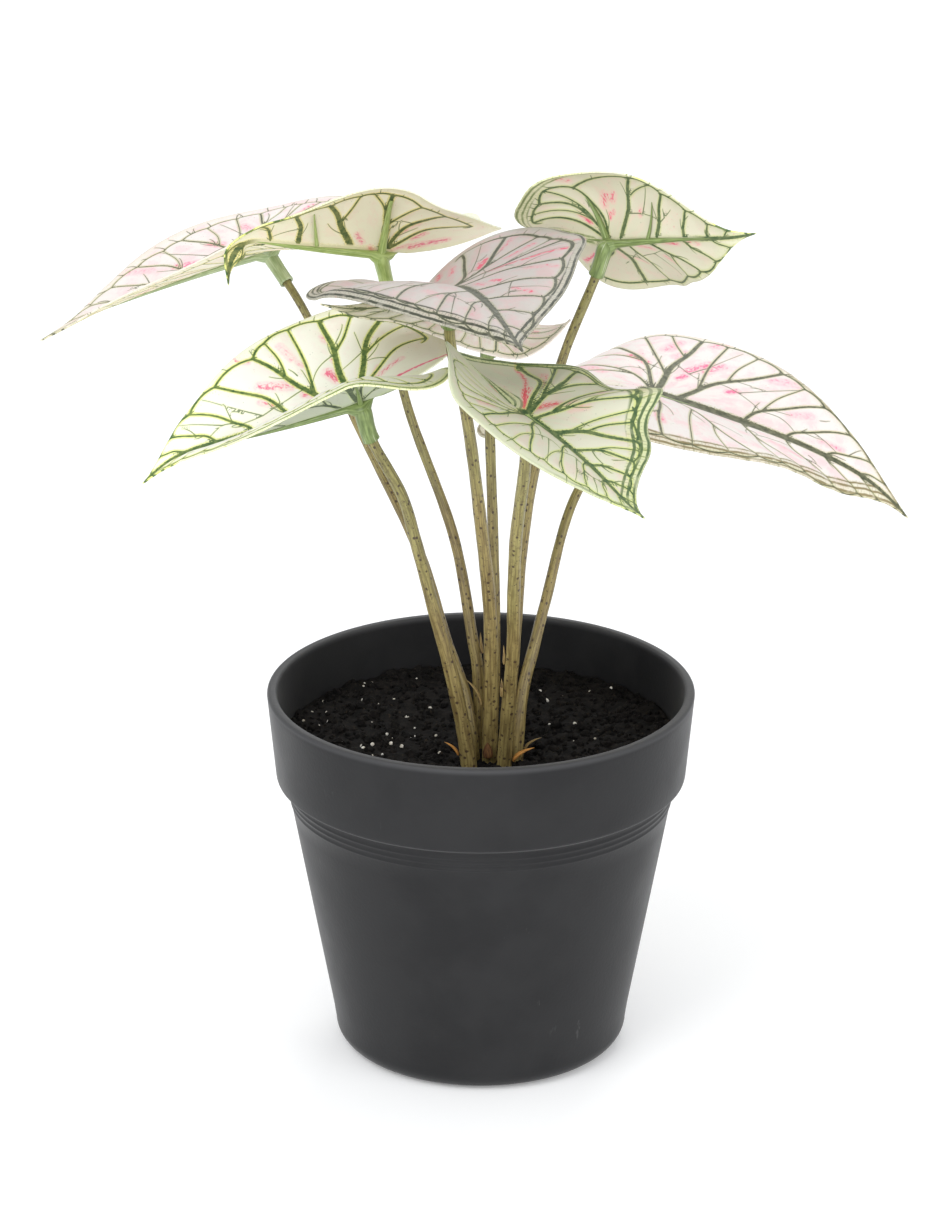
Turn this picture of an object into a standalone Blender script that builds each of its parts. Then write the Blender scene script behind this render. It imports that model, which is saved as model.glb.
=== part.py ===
"""Potted caladium: eight printed leaves on moulded rib frames and stems, set in soil in a round pot.

Metres, +Z up. The origin is the centre of the pot's underside. -Y is the front.
"""

import math

import bmesh
import bpy
import numpy as np

# Pot: a turned plastic shell.
POT_HEIGHT = 0.1145
LIP_RADIUS = 0.065
LIP_ROUND = 0.001
BAND_HEIGHT = 0.0271
BAND_FOOT_RADIUS = 0.0624
SHOULDER_DROP = 0.0018
SHOULDER_RADIUS = 0.0592
FOOT_RADIUS = 0.0435
FOOT_ROUND = 0.0065
BAND_WALL = 0.003
WALL = 0.0018
FLOOR = 0.0025
WALL_RINGS = (0.035, 0.06)
POT_SIDES = 40

# Soil: fills the pot to below the lip and dips towards the stems.
GAP = 0.0003
SOIL_EDGE_Z = 0.0985
SOIL_MIDDLE_Z = 0.0945
SOIL_FLAT_RADIUS = 0.018
SOIL_RIM_RADIUS = 0.045
SOIL_RIM_DROP = 0.001
STEM_DEPTH = 0.012
BORE_MOUTH = 0.004

# Stems and rib frames.
STEM_SIDES = 8
STEM_STATIONS = 9
STEM_TAPER = 1.3
COLLAR_SIDES = 12
COLLAR_LENGTH = 0.010
COLLAR_WALL = 0.0006
SOCKET_CLEARANCE = 0.0003
RIB_RADIUS = 0.0009
RIB_END_RADIUS = 0.0005
RIB_START = 0.05
RIB_END = 0.62
RIB_STATIONS = 8

# Leaf blades: stiff printed sheets.
BLADE_THICKNESS = 0.0007
BLADE_GAP = 0.0004
MARGIN_STATIONS = 12
RINGS = 5

# How far from the hub, in leaf sizes, the halves reach the angles of their tip and back lobe,
# and the stretch of the midrib over which the tip droops.
TIP_REACH = 0.9
BACK_REACH = 0.55
TIP_DROOP_START = 0.65
TIP_DROOP_LENGTH = 0.35

# Half of the leaf's flat outline, from the tip round the lobe to the notch behind the hub:
# (along the midrib, across it), in units of the leaf's size, measured from the hub.
OUTLINE = [
    (1.0, 0.0), (0.93, 0.016), (0.84, 0.055), (0.70, 0.155), (0.50, 0.305), (0.25, 0.445),
    (0.0, 0.525), (-0.22, 0.53), (-0.42, 0.455), (-0.55, 0.32), (-0.59, 0.18), (-0.51, 0.06),
    (-0.33, 0.012), (-0.14, 0.0),
]

# Each leaf: where its hub is, how long it is, which way it points, and how its halves fold and
# curl, in degrees, at the (back lobe, hub, tip). Lobes is the length of its back lobes against
# the outline's. A stem rises from its foot (x, y) through its points to the hub.
LEAVES = {
    "far_left": dict(
        hub=(-0.066, 0.078, 0.2295), size=0.0785, width=1.01, lobes=0.65, heading=173, pitch=-19,
        roll=8, droop=7, tip_droop=4, back=10, bend=8, twist=-9,
        left_fold=(14, 6, 22), right_fold=(12, 21, 17),
        left_curl=(2, 11, -11), right_curl=(-2, -16, 30),
        stem=[(-0.0022, -0.005), (-0.005, 0.0015, 0.1125), (-0.0105, 0.009, 0.1265),
              (-0.018, 0.021, 0.1485), (-0.037, 0.043, 0.1825), (-0.0545, 0.0655, 0.2135)],
        stem_radius=(0.0020, 0.0013)),
    "upper_left": dict(
        hub=(-0.030, 0.020, 0.2465), size=0.0625, width=0.97, lobes=1, heading=206, pitch=10,
        roll=21, droop=-9, tip_droop=115, back=-27, bend=16, twist=69,
        left_fold=(40, 53, -27), right_fold=(2, 30, 39),
        left_curl=(-1, -51, -12), right_curl=(-7, 0, 9),
        pulls=[(-0.45, -0.40, 0.30, (0, 0, -6)), (0.84, 0.05, 0.07, (-2, 0, 0)),
               (0.84, -0.05, 0.07, (2.5, 0, 0))],
        stem=[(-0.0005, 0.0015), (-0.001, 0.0035, 0.1195), (-0.0025, 0.0045, 0.1285),
              (-0.008, 0.0095, 0.159), (-0.023, 0.018, 0.202), (-0.028, 0.0215, 0.2345)],
        stem_radius=(0.0020, 0.0013)),
    "lower_left": dict(
        hub=(-0.0355, -0.028, 0.2155), size=0.069, width=1.21, lobes=0.73, heading=183, pitch=-18,
        roll=-16, droop=-5, tip_droop=32, back=-11, bend=-1, twist=-16,
        left_fold=(20, 62, 44), right_fold=(-20, 15, 42),
        left_curl=(-17, -32, -18), right_curl=(10, -13, -38),
        stem=[(-0.0036, -0.0135), (-0.0075, -0.015, 0.119), (-0.0145, -0.0175, 0.1485),
              (-0.0195, -0.021, 0.170), (-0.023, -0.0225, 0.1835), (-0.0325, -0.0265, 0.204)],
        stem_radius=(0.0026, 0.0016)),
    "centre": dict(
        hub=(-0.0095, -0.046, 0.2555), size=0.074, width=1.04, lobes=1, heading=-72, pitch=19,
        roll=-20, droop=37, tip_droop=-13, back=16, bend=-3, twist=-7,
        left_fold=(71, 40, 30), right_fold=(44, -5, -29),
        left_curl=(-38, -2, -19), right_curl=(-95, -24, -14),
        pulls=[(0.12, 0.49, 0.12, (3, 0, 0.5)), (-0.22, -0.32, 0.20, (0, 0, -3)),
               (-0.15, -0.56, 0.16, (2.5, 0, 1))],
        stem=[(0.0026, -0.008), (0.003, -0.0145, 0.133), (0.0025, -0.0175, 0.1485),
              (0.0005, -0.023, 0.1705), (-0.004, -0.0335, 0.211), (-0.009, -0.041, 0.2385)],
        stem_radius=(0.0025, 0.0016)),
    "upper_right": dict(
        hub=(0.038, -0.005, 0.2565), size=0.0515, width=1.03, lobes=1, heading=-44, pitch=16,
        roll=-49, droop=9, tip_droop=-9, back=-28, bend=17, twist=-19,
        left_fold=(3, 16, -15), right_fold=(-14, 68, 0),
        left_curl=(-28, -7, 5), right_curl=(3, -89, 14),
        pulls=[(-0.60, -0.25, 0.17, (3, 0, -4.5)), (-0.42, -0.47, 0.12, (2, 0, 0)),
               (0.38, 0.40, 0.13, (-0.5, 0, 0.8)), (0.64, 0.22, 0.15, (1, 0, -0.3))],
        stem=[(0.008, 0.0025), (0.0105, 0.0015, 0.132), (0.0125, 0.0, 0.160),
              (0.016, -0.0015, 0.185), (0.024, -0.004, 0.2205), (0.0335, -0.0045, 0.246)],
        stem_radius=(0.0020, 0.0014)),
    "front": dict(
        hub=(0.0125, -0.078, 0.228), size=0.0515, width=1.26, lobes=1, heading=-42, pitch=-17,
        roll=-27, droop=11, tip_droop=-14, back=-27, bend=-12, twist=14,
        left_fold=(-26, 53, 40), right_fold=(-11, -3, -7),
        left_curl=(69, -26, -9), right_curl=(20, -4, -8),
        pleats=[(54, 13, 0.085), (86, 17, -0.05)],
        pulls=[(0.29, 0.44, 0.14, (7, 0, 0.5)), (0.58, 0.24, 0.14, (2.6, 0, 0))],
        stem=[(0.007, -0.013), (0.0085, -0.022, 0.122), (0.0095, -0.0295, 0.139),
              (0.0095, -0.0375, 0.156), (0.010, -0.0505, 0.181), (0.0125, -0.068, 0.212)],
        stem_radius=(0.0023, 0.0018)),
    "far_right": dict(
        hub=(0.053, 0.045, 0.1935), size=0.0885, width=1.08, lobes=1, heading=-11, pitch=-14,
        roll=8, droop=16, tip_droop=19, back=41, bend=9, twist=23,
        left_fold=(-6, 3, 4), right_fold=(-16, 32, -4),
        left_curl=(-8, -13, -5), right_curl=(18, -33, 71),
        pulls=[(0.55, -0.27, 0.22, (0, 0, 3.5))],
        stem=[(0.0107, -0.0085), (0.0125, -0.0035, 0.114), (0.016, 0.0045, 0.126),
              (0.0195, 0.012, 0.1375), (0.0295, 0.0285, 0.1675), (0.0485, 0.0415, 0.188)],
        stem_radius=(0.0022, 0.0013)),
    "inner": dict(
        hub=(0.0015, -0.002, 0.2335), size=0.0445, width=0.96, lobes=0.9, heading=207, pitch=16,
        roll=11, droop=12, tip_droop=-2, back=8, bend=-23, twist=-16,
        left_fold=(20, -28, -17), right_fold=(7, -6, -5),
        left_curl=(15, -7, 5), right_curl=(2, 0, 0),
        pulls=[(-0.50, 0.38, 0.25, (-2, 0, -5)), (1.0, 0.0, 0.25, (-6.5, 0, -0.5)),
               (0.82, 0.08, 0.15, (-1, 0, -2))],
        stem=[(0.0032, -0.0015), (0.004, -0.0015, 0.124), (0.004, -0.0015, 0.1425),
              (0.0035, -0.0015, 0.166), (0.0025, -0.002, 0.1985), (0.002, -0.002, 0.2225)],
        stem_radius=(0.0020, 0.0015)),
}

# Dried sheath tips beside the stems: (stem, height of its foot, bearing round the stem,
# lean away from it, length, radius).
SHEATH_TIPS = [
    ("centre", 0.1135, 185, 28, 0.0100, 0.0009),
    ("upper_left", 0.1240, -15, 6, 0.0065, 0.0008),
    ("front", 0.1330, 180, 4, 0.0075, 0.0008),
    ("front", 0.1210, 200, 3, 0.0070, 0.0008),
    ("far_right", 0.1120, 190, 5, 0.0065, 0.0008),
    ("lower_left", 0.0985, 180, 38, 0.0060, 0.0008),
    ("front", 0.0965, -5, 50, 0.0080, 0.0011),
    ("far_right", 0.0980, -5, 52, 0.0062, 0.0008),
    ("centre", 0.0965, -100, 6, 0.0055, 0.0014),
]
SHEATH_SIDES = 6

# Places along the midrib, in leaf sizes from the hub, at which its frame is worked out.
MIDRIB = np.linspace(-0.75, 1.05, 181)


def clear_scene():
    for old in list(bpy.data.objects):
        bpy.data.objects.remove(old, do_unlink=True)


def material(name, colour, roughness, metallic=0.0):
    made = bpy.data.materials.new(name)
    made.use_nodes = True
    shader = made.node_tree.nodes["Principled BSDF"]
    shader.inputs["Base Color"].default_value = (*colour, 1.0)
    shader.inputs["Roughness"].default_value = roughness
    shader.inputs["Metallic"].default_value = metallic
    return made


def add_object(name, points, faces, finish, smooth_angle=40):
    """A named mesh object with its faces turned outwards and its round parts shaded smooth."""
    mesh = bpy.data.meshes.new(name)
    mesh.from_pydata([tuple(map(float, point)) for point in points], [], faces)
    shape = bmesh.new()
    shape.from_mesh(mesh)
    bmesh.ops.recalc_face_normals(shape, faces=shape.faces)
    shape.to_mesh(mesh)
    shape.free()
    mesh.shade_smooth()
    mesh.set_sharp_from_angle(angle=math.radians(smooth_angle))
    mesh.materials.append(finish)
    made = bpy.data.objects.new(name, mesh)
    bpy.context.scene.collection.objects.link(made)
    return made


def smooth_curve(points, per_span):
    """Points on a centripetal Catmull-Rom curve through the given ones."""
    given = np.array(points, float)
    given = np.vstack([2 * given[0] - given[1], given, 2 * given[-1] - given[-2]])
    found = []
    for i in range(1, len(given) - 2):
        near = given[i - 1:i + 3]
        knots = np.concatenate([[0], np.cumsum(np.linalg.norm(np.diff(near, axis=0), axis=1) ** 0.5)])
        spans = ((knots[:3], knots[1:]), (knots[:2], knots[2:]), (knots[1:2], knots[2:3]))
        for t in np.linspace(knots[1], knots[2], per_span, endpoint=False):
            level = near
            for low, high in spans:
                share = ((t - low) / (high - low))[:, None]
                level = level[:-1] + (level[1:] - level[:-1]) * share
            found.append(level[0])
    found.append(given[-2])
    return np.array(found)


def even_points(curve, count):
    """The same curve at evenly spaced points."""
    steps = np.linalg.norm(np.diff(curve, axis=0), axis=1)
    along = np.concatenate([[0], np.cumsum(steps)])
    wanted = np.linspace(0, along[-1], count)
    return np.stack([np.interp(wanted, along, axis) for axis in curve.T], axis=1)


def ease(x):
    x = np.clip(x, 0, 1)
    return x * x * (3 - 2 * x)


class Path:
    """A curve in space with a frame that doesn't twist, read by the distance along it."""

    def __init__(self, points):
        self.points = np.array(points, float)
        steps = np.diff(self.points, axis=0)
        self.along = np.concatenate([[0], np.cumsum(np.linalg.norm(steps, axis=1))])
        self.length = self.along[-1]
        tangents = np.gradient(self.points, self.along, axis=0)
        self.tangents = tangents / np.linalg.norm(tangents, axis=1)[:, None]
        side = np.cross(self.tangents[0], (0.31, 0.95, 0.05))
        sides = []
        for tangent in self.tangents:
            side = side - tangent * side.dot(tangent)
            side = side / np.linalg.norm(side)
            sides.append(side)
        self.sides = np.array(sides)

    def read(self, values, distance):
        return np.array([np.interp(distance, self.along, axis) for axis in values.T])

    def at(self, distance):
        """The point, tangent and side vector there; past an end the curve goes on straight."""
        tangent = self.read(self.tangents, distance)
        tangent = tangent / np.linalg.norm(tangent)
        past = distance - min(max(distance, 0.0), self.length)
        point = self.read(self.points, distance) + tangent * past
        side = self.read(self.sides, distance)
        side = side - tangent * side.dot(tangent)
        return point, tangent, side / np.linalg.norm(side)


def swept(path, stations, sides):
    """Points and faces of a round body along a path. Stations are (distance, radius); the first
    and last are poles on the path."""
    points = [path.at(stations[0][0])[0]]
    for distance, radius in stations[1:-1]:
        centre, tangent, side = path.at(distance)
        other = np.cross(tangent, side)
        for step in range(sides):
            angle = 2 * math.pi * step / sides
            points.append(centre + radius * (math.cos(angle) * side + math.sin(angle) * other))
    points.append(path.at(stations[-1][0])[0])
    rings = len(stations) - 2
    last = len(points) - 1
    faces = []
    for step in range(sides):
        after = (step + 1) % sides
        faces.append((0, 1 + after, 1 + step))
        faces.append((last, last - sides + step, last - sides + after))
        for ring in range(rings - 1):
            low = 1 + ring * sides
            high = low + sides
            faces.append((low + step, low + after, high + after, high + step))
    return points, faces


def arc(centre_r, centre_z, radius, start, stop, count):
    """(height, radius) stations on an arc in the turning plane; angles in degrees from +R."""
    angles = np.radians(np.linspace(start, stop, count))
    return [(centre_z + radius * math.sin(a), centre_r + radius * math.cos(a)) for a in angles]


def pot_outside(z):
    """The pot's outer radius at a height, leaving out its rounded edges."""
    band_foot = POT_HEIGHT - BAND_HEIGHT
    if z >= band_foot:
        return BAND_FOOT_RADIUS + (LIP_RADIUS - BAND_FOOT_RADIUS) * (z - band_foot) / BAND_HEIGHT
    return FOOT_RADIUS + (SHOULDER_RADIUS - FOOT_RADIUS) * z / (band_foot - SHOULDER_DROP)


def pot_inside(z):
    if z >= POT_HEIGHT - BAND_HEIGHT:
        return pot_outside(z) - BAND_WALL
    return min(pot_outside(z) - WALL, pot_inside(POT_HEIGHT - BAND_HEIGHT))


def build_pot(finish):
    band_foot = POT_HEIGHT - BAND_HEIGHT
    shoulder_z = band_foot - SHOULDER_DROP
    lip_z = POT_HEIGHT - LIP_ROUND
    # The foot's rounding ends a little above its own radius, because the wall slopes.
    fillet_top = FOOT_ROUND * 1.15
    outside = [(0.0, 0.0), (0.0, FOOT_RADIUS * 0.5)]
    outside += arc(pot_outside(fillet_top) - FOOT_ROUND, FOOT_ROUND, FOOT_ROUND, -90, 0, 5)
    outside += [(z, pot_outside(z)) for z in WALL_RINGS]
    outside += [(shoulder_z, SHOULDER_RADIUS), (band_foot, BAND_FOOT_RADIUS)]
    outside += arc(pot_outside(lip_z) - LIP_ROUND, lip_z, LIP_ROUND, 0, 90, 3)
    inside = arc(pot_inside(lip_z) + LIP_ROUND, lip_z, LIP_ROUND, 90, 180, 3)
    inside += [(band_foot, pot_inside(band_foot)), (shoulder_z, pot_inside(shoulder_z - 0.001))]
    inside += [(FLOOR + FOOT_ROUND, pot_inside(FLOOR + FOOT_ROUND)), (FLOOR, FOOT_RADIUS - FOOT_ROUND)]
    inside += [(FLOOR, 0.0)]
    axis = Path([(0, 0, 0), (0, 0, POT_HEIGHT)])
    return add_object("pot", *swept(axis, outside + inside, POT_SIDES), finish, 35)


def build_soil(finish, stems):
    band_foot = POT_HEIGHT - BAND_HEIGHT
    bottom = FLOOR + GAP
    corner = FLOOR + FOOT_ROUND
    stations = [(bottom, 0.0), (bottom, FOOT_RADIUS - FOOT_ROUND - GAP)]
    for z in (corner, band_foot - SHOULDER_DROP - 0.001, SOIL_EDGE_Z):
        stations.append((z, pot_inside(z) - 1.5 * GAP))
    stations.append((SOIL_EDGE_Z - SOIL_RIM_DROP, SOIL_RIM_RADIUS))
    stations.append((SOIL_MIDDLE_Z, SOIL_FLAT_RADIUS))
    stations.append((SOIL_MIDDLE_Z, 0.0))
    axis = Path([(0, 0, 0), (0, 0, POT_HEIGHT)])
    soil = add_object("potting_soil", *swept(axis, stations, POT_SIDES), finish, 50)
    for name, (path, radii) in stems.items():
        cut(soil, bore_cutter(name, path, radii[0]))
    return soil


def bore_cutter(name, path, radius):
    """The hole that a stem's buried foot stands in."""
    wide = radius + GAP
    rings = [-GAP] + buried_distances()
    stations = [(-GAP, 0.0)] + [(distance, wide) for distance in rings] + [(rings[-1], 0.0)]
    cutter = add_object(f"bore_{name}", *swept(path, stations, COLLAR_SIDES), None)
    hide(cutter)
    return cutter


def hide(helper):
    helper.hide_render = True
    helper.display_type = "WIRE"


def cut(body, cutter):
    step = body.modifiers.new(cutter.name, "BOOLEAN")
    step.operation = "DIFFERENCE"
    step.object = cutter


def join(body, other):
    hide(other)
    step = body.modifiers.new(other.name, "BOOLEAN")
    step.operation = "UNION"
    step.object = other


def midrib_frames(leaf):
    """Along the midrib: its points from the hub, and the frame (along, left, up) at each."""
    slope = leaf["pitch"] - leaf["droop"] * np.maximum(MIDRIB, 0)
    slope = slope - leaf["tip_droop"] * ease((MIDRIB - TIP_DROOP_START) / TIP_DROOP_LENGTH)
    slope = np.radians(slope + leaf["back"] * np.maximum(-MIDRIB, 0) / BACK_REACH)
    turn = np.radians(leaf["heading"] + leaf["bend"] * MIDRIB)
    roll = np.radians(leaf["roll"] + leaf["twist"] * MIDRIB)[:, None]
    along = np.stack([np.cos(slope) * np.cos(turn), np.cos(slope) * np.sin(turn), np.sin(slope)], 1)
    level = np.stack([-np.sin(turn), np.cos(turn), 0 * turn], 1)
    above = np.cross(along, level)
    left = level * np.cos(roll) + above * np.sin(roll)
    up = above * np.cos(roll) - level * np.sin(roll)
    step = MIDRIB[1] - MIDRIB[0]
    points = np.vstack([np.zeros(3), np.cumsum((along[1:] + along[:-1]) * step / 2, axis=0)])
    hub = np.array([np.interp(0, MIDRIB, axis) for axis in points.T])
    return points - hub, along, left, up


def at_midrib(values, u):
    return np.stack([np.interp(u, MIDRIB, axis) for axis in values.T], -1)


def half_angles(leaf, kind, side, u):
    """The fold or the curl of one half, in radians, blended from its three values."""
    back, hub, tip = leaf[("right_" if side < 0 else "left_") + kind]
    towards_tip = (tip - hub) * ease(u / TIP_REACH)
    towards_back = (back - hub) * ease(-u / BACK_REACH)
    return np.radians(hub + towards_tip + towards_back)


def leaf_points(leaf, u, v):
    """The blade's middle surface at flat places (u along the midrib, v across it)."""
    points, _, left, up = midrib_frames(leaf)
    flat_u = u
    u = np.where(u < 0, u * leaf["lobes"], u)
    side = np.where(v < 0, -1.0, 1.0)
    across = np.abs(v) * leaf["width"]
    fold = np.where(v < 0, half_angles(leaf, "fold", -1, u), half_angles(leaf, "fold", 1, u))
    curl = np.where(v < 0, half_angles(leaf, "curl", -1, u), half_angles(leaf, "curl", 1, u))
    bend = curl * across / 0.5
    chord = across * np.sinc(bend / 2 / np.pi)
    reach = side * chord * np.cos(fold + bend / 2)
    rise = chord * np.sin(fold + bend / 2)
    for angle, spread, height in leaf.get("pleats", []):
        around = np.degrees(np.arctan2(v, flat_u))
        swell = height * np.exp(-((around - angle) / spread) ** 2) * (np.hypot(flat_u, v) / 0.5) ** 1.5
        reach = reach - side * swell * np.sin(fold + bend)
        rise = rise + swell * np.cos(fold + bend)
    out = reach[:, None] * at_midrib(left, u) + rise[:, None] * at_midrib(up, u)
    place = np.array(leaf["hub"]) + leaf["size"] * (at_midrib(points, u) + out)
    for pull_u, pull_v, spread, move in leaf.get("pulls", []):
        share = np.exp(-((flat_u - pull_u) ** 2 + (v - pull_v) ** 2) / spread ** 2)
        place = place + share[:, None] * np.array(move) / 1000
    return place


def under_midrib(leaf, u, clearance):
    """Points below the midrib that keep a clearance to both halves, and the way up at each."""
    _, _, left, up = midrib_frames(leaf)
    on_left = half_angles(leaf, "fold", 1, u)
    on_right = half_angles(leaf, "fold", -1, u)
    tilt = (np.sin(on_right) - np.sin(on_left))[:, None] * at_midrib(left, u)
    out = tilt + (np.cos(on_left) + np.cos(on_right))[:, None] * at_midrib(up, u)
    out = out / np.linalg.norm(out, axis=1)[:, None]
    roof = np.cos(np.minimum((on_left + on_right) / 2, 0))
    points = leaf_points(leaf, u, 0 * u) - out * (clearance / roof)[:, None]
    return points, out


def build_blade(name, leaf, finish):
    """A sheet on spokes from the hub to the margin, given its thickness by Solidify."""
    half = even_points(smooth_curve(OUTLINE, 8), MARGIN_STATIONS + 1)
    margin = np.vstack([half, half[-2:0:-1] * (1, -1)])
    flat = [np.zeros((1, 2))]
    flat += [margin * ring / RINGS for ring in range(1, RINGS + 1)]
    flat = np.vstack(flat)
    spokes = len(margin)
    faces = []
    for spoke in range(spokes):
        after = (spoke + 1) % spokes
        faces.append((0, 1 + spoke, 1 + after))
        for ring in range(RINGS - 1):
            low = 1 + ring * spokes
            high = low + spokes
            faces.append((low + spoke, high + spoke, high + after, low + after))
    points = leaf_points(leaf, flat[:, 0], flat[:, 1])
    blade = add_object(f"leaf_blade_{name}", points, faces, finish, 60)
    sheet = blade.modifiers.new("thickness", "SOLIDIFY")
    sheet.thickness = BLADE_THICKNESS
    sheet.offset = 0
    return blade


def collar_radius(leaf):
    return leaf["stem_radius"][1] + SOCKET_CLEARANCE + COLLAR_WALL


def stem_path(leaf):
    """From the buried foot up through the stem's points to the middle of the collar's dome."""
    foot = leaf["stem"][0]
    clearance = BLADE_THICKNESS / 2 + BLADE_GAP + collar_radius(leaf)
    under_hub, _ = under_midrib(leaf, np.array([0.0]), clearance)
    points = [(*foot, SOIL_MIDDLE_Z - STEM_DEPTH), (*foot, SOIL_MIDDLE_Z)]
    points += leaf["stem"][1:]
    points.append(tuple(under_hub[0]))
    return Path(smooth_curve(points, 5))


def stem_radius(leaf, share):
    base, top = leaf["stem_radius"]
    return top + (base - top) * (1 - share) ** STEM_TAPER


def socket_distances(path):
    """Where the socket's bore has its rings, from its mouth to its blind end."""
    mouth = path.length - COLLAR_LENGTH
    return list(np.linspace(mouth, path.length - SOCKET_CLEARANCE, 4))


def buried_distances():
    """Where a bore in the soil has its rings, from its floor to just above the soil."""
    return [0.0, STEM_DEPTH / 2, STEM_DEPTH, STEM_DEPTH + BORE_MOUTH]


def build_stem(name, leaf, path, finish):
    buried = buried_distances()
    socket = socket_distances(path)
    free = list(np.linspace(buried[-1], socket[0], STEM_STATIONS)[1:-1])
    end = path.length - 2 * SOCKET_CLEARANCE
    stations = [(0.0, 0.0)]
    for distance in buried + free + socket[:-1] + [end]:
        stations.append((distance, stem_radius(leaf, distance / end)))
    stations.append((end, 0.0))
    return add_object(f"petiole_{name}", *swept(path, stations, STEM_SIDES), finish)


def build_rib_frame(name, leaf, path, finish):
    """A socket for the stem's end, domed under the hub, in one piece with a rib under the midrib."""
    dome = collar_radius(leaf)
    bore = dome - COLLAR_WALL
    top = path.length
    rings = socket_distances(path)
    stations = [(rings[-1], 0.0)]
    stations += [(distance, bore) for distance in reversed(rings)]
    stations += [(distance, dome) for distance in rings[:-1]]
    stations.append((top, dome))
    for angle in (30, 60):
        turn = math.radians(angle)
        stations.append((top + dome * math.sin(turn), dome * math.cos(turn)))
    stations.append((top + dome, 0.0))
    collar = add_object(f"rib_frame_{name}", *swept(path, stations, COLLAR_SIDES), finish)

    u = np.linspace(RIB_START, RIB_END, RIB_STATIONS)
    radii = np.linspace(RIB_RADIUS, RIB_END_RADIUS, RIB_STATIONS)
    under, _ = under_midrib(leaf, u, BLADE_THICKNESS / 2 + BLADE_GAP + radii)
    centre, up = under_midrib(leaf, np.array([0.0]), BLADE_THICKNESS / 2 + BLADE_GAP + dome)
    start = centre[0] + up[0] * (dome - RIB_RADIUS) * 0.7
    rib_path = Path(np.vstack([start, under]))
    stations = [(0.0, 0.0), (0.0, RIB_RADIUS)]
    stations += list(zip(rib_path.along[1:], radii))
    stations.append((rib_path.length, 0.0))
    rib = add_object(f"rib_{name}", *swept(rib_path, stations, STEM_SIDES), finish)
    join(collar, rib)
    return collar


def build_sheath_tip(number, finish, stem, height, bearing, lean, length, radius):
    """A dried pointed flake that stands beside a stem and leans away from it."""
    path, stem_width = stem
    distance = float(np.interp(height, path.points[:, 2], path.along))
    centre, tangent, _ = path.at(distance)
    turn = math.radians(bearing)
    away = np.array([math.cos(turn), math.sin(turn), 0.0])
    away = away - tangent * away.dot(tangent)
    away = away / np.linalg.norm(away)
    foot = centre + away * (stem_width(distance) + GAP + radius)
    slant = math.tan(math.radians(lean))
    line = []
    for share in (0.0, 0.25, 0.5, 0.75, 1.0):
        rise = length * share * math.cos(math.radians(lean))
        line.append(foot + tangent * rise + away * rise * slant * (0.5 + 0.5 * share))
    tip = Path(line)
    widths = ((0.0, 0.75), (0.3, 1.0), (0.6, 0.75), (0.85, 0.35))
    stations = [(0.0, 0.0)]
    stations += [(tip.length * share, radius * width) for share, width in widths]
    stations.append((tip.length, 0.0))
    return add_object(f"sheath_tip_{number}", *swept(tip, stations, SHEATH_SIDES), finish)


def main():
    clear_scene()
    pot_plastic = material("pot_plastic", (0.040, 0.040, 0.042), 0.55)
    soil_finish = material("soil", (0.012, 0.010, 0.009), 0.95)
    stem_plastic = material("stem_plastic", (0.26, 0.22, 0.085), 0.45)
    rib_plastic = material("rib_plastic", (0.42, 0.50, 0.20), 0.45)
    leaf_print = material("leaf_print", (0.78, 0.78, 0.60), 0.6)
    dried_sheath = material("dried_sheath", (0.50, 0.30, 0.08), 0.6)

    stems = {}
    for name, leaf in LEAVES.items():
        path = stem_path(leaf)
        stems[name] = (path, leaf["stem_radius"])
        build_stem(name, leaf, path, stem_plastic)
        build_rib_frame(name, leaf, path, rib_plastic)
        build_blade(name, leaf, leaf_print)
    build_pot(pot_plastic)
    build_soil(soil_finish, stems)
    for number, (stem, *shape) in enumerate(SHEATH_TIPS, 1):
        path, radii = stems[stem]
        leaf = LEAVES[stem]

        def stem_width(distance, leaf=leaf, path=path):
            return stem_radius(leaf, distance / path.length)

        build_sheath_tip(number, dried_sheath, (path, stem_width), *shape)


main()
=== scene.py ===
"""Looks of the potted caladium: eight printed leaves on moulded rib frames and stems, standing in
loose soil in a round grower's pot.

Metres, +Z up. The origin is the centre of the pot's underside. -Y is the front. Sizes along a leaf
are in leaf lengths unless a comment says otherwise.
"""

import math

import bmesh
import bpy
import numpy as np
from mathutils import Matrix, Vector, noise


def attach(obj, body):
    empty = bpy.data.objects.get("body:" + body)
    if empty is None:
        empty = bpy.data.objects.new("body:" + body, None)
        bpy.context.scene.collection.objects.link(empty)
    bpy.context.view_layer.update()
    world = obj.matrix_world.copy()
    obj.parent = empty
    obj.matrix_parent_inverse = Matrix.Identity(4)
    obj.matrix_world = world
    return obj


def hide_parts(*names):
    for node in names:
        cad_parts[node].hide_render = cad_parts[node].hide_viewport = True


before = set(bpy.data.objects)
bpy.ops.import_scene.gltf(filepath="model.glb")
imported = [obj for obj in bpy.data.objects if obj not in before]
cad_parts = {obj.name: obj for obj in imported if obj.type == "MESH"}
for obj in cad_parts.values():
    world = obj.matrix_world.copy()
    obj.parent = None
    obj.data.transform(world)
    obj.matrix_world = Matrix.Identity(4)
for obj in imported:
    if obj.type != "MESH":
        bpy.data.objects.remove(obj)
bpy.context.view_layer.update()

# Pot: a turned plastic shell with three fine rings below its shoulder. A ring's section is its
# (height from its middle, how far it stands out).
POT_HEIGHT = 0.1145
LIP_RADIUS = 0.065
LIP_ROUND = 0.001
BAND_HEIGHT = 0.0271
BAND_FOOT_RADIUS = 0.0624
SHOULDER_DROP = 0.0018
SHOULDER_RADIUS = 0.0592
FOOT_RADIUS = 0.0435
FOOT_ROUND = 0.0065
BAND_WALL = 0.003
WALL = 0.0018
FLOOR = 0.0025
POT_SIDES = 160
RING_DROPS = (0.0022, 0.0042, 0.0062)
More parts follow.
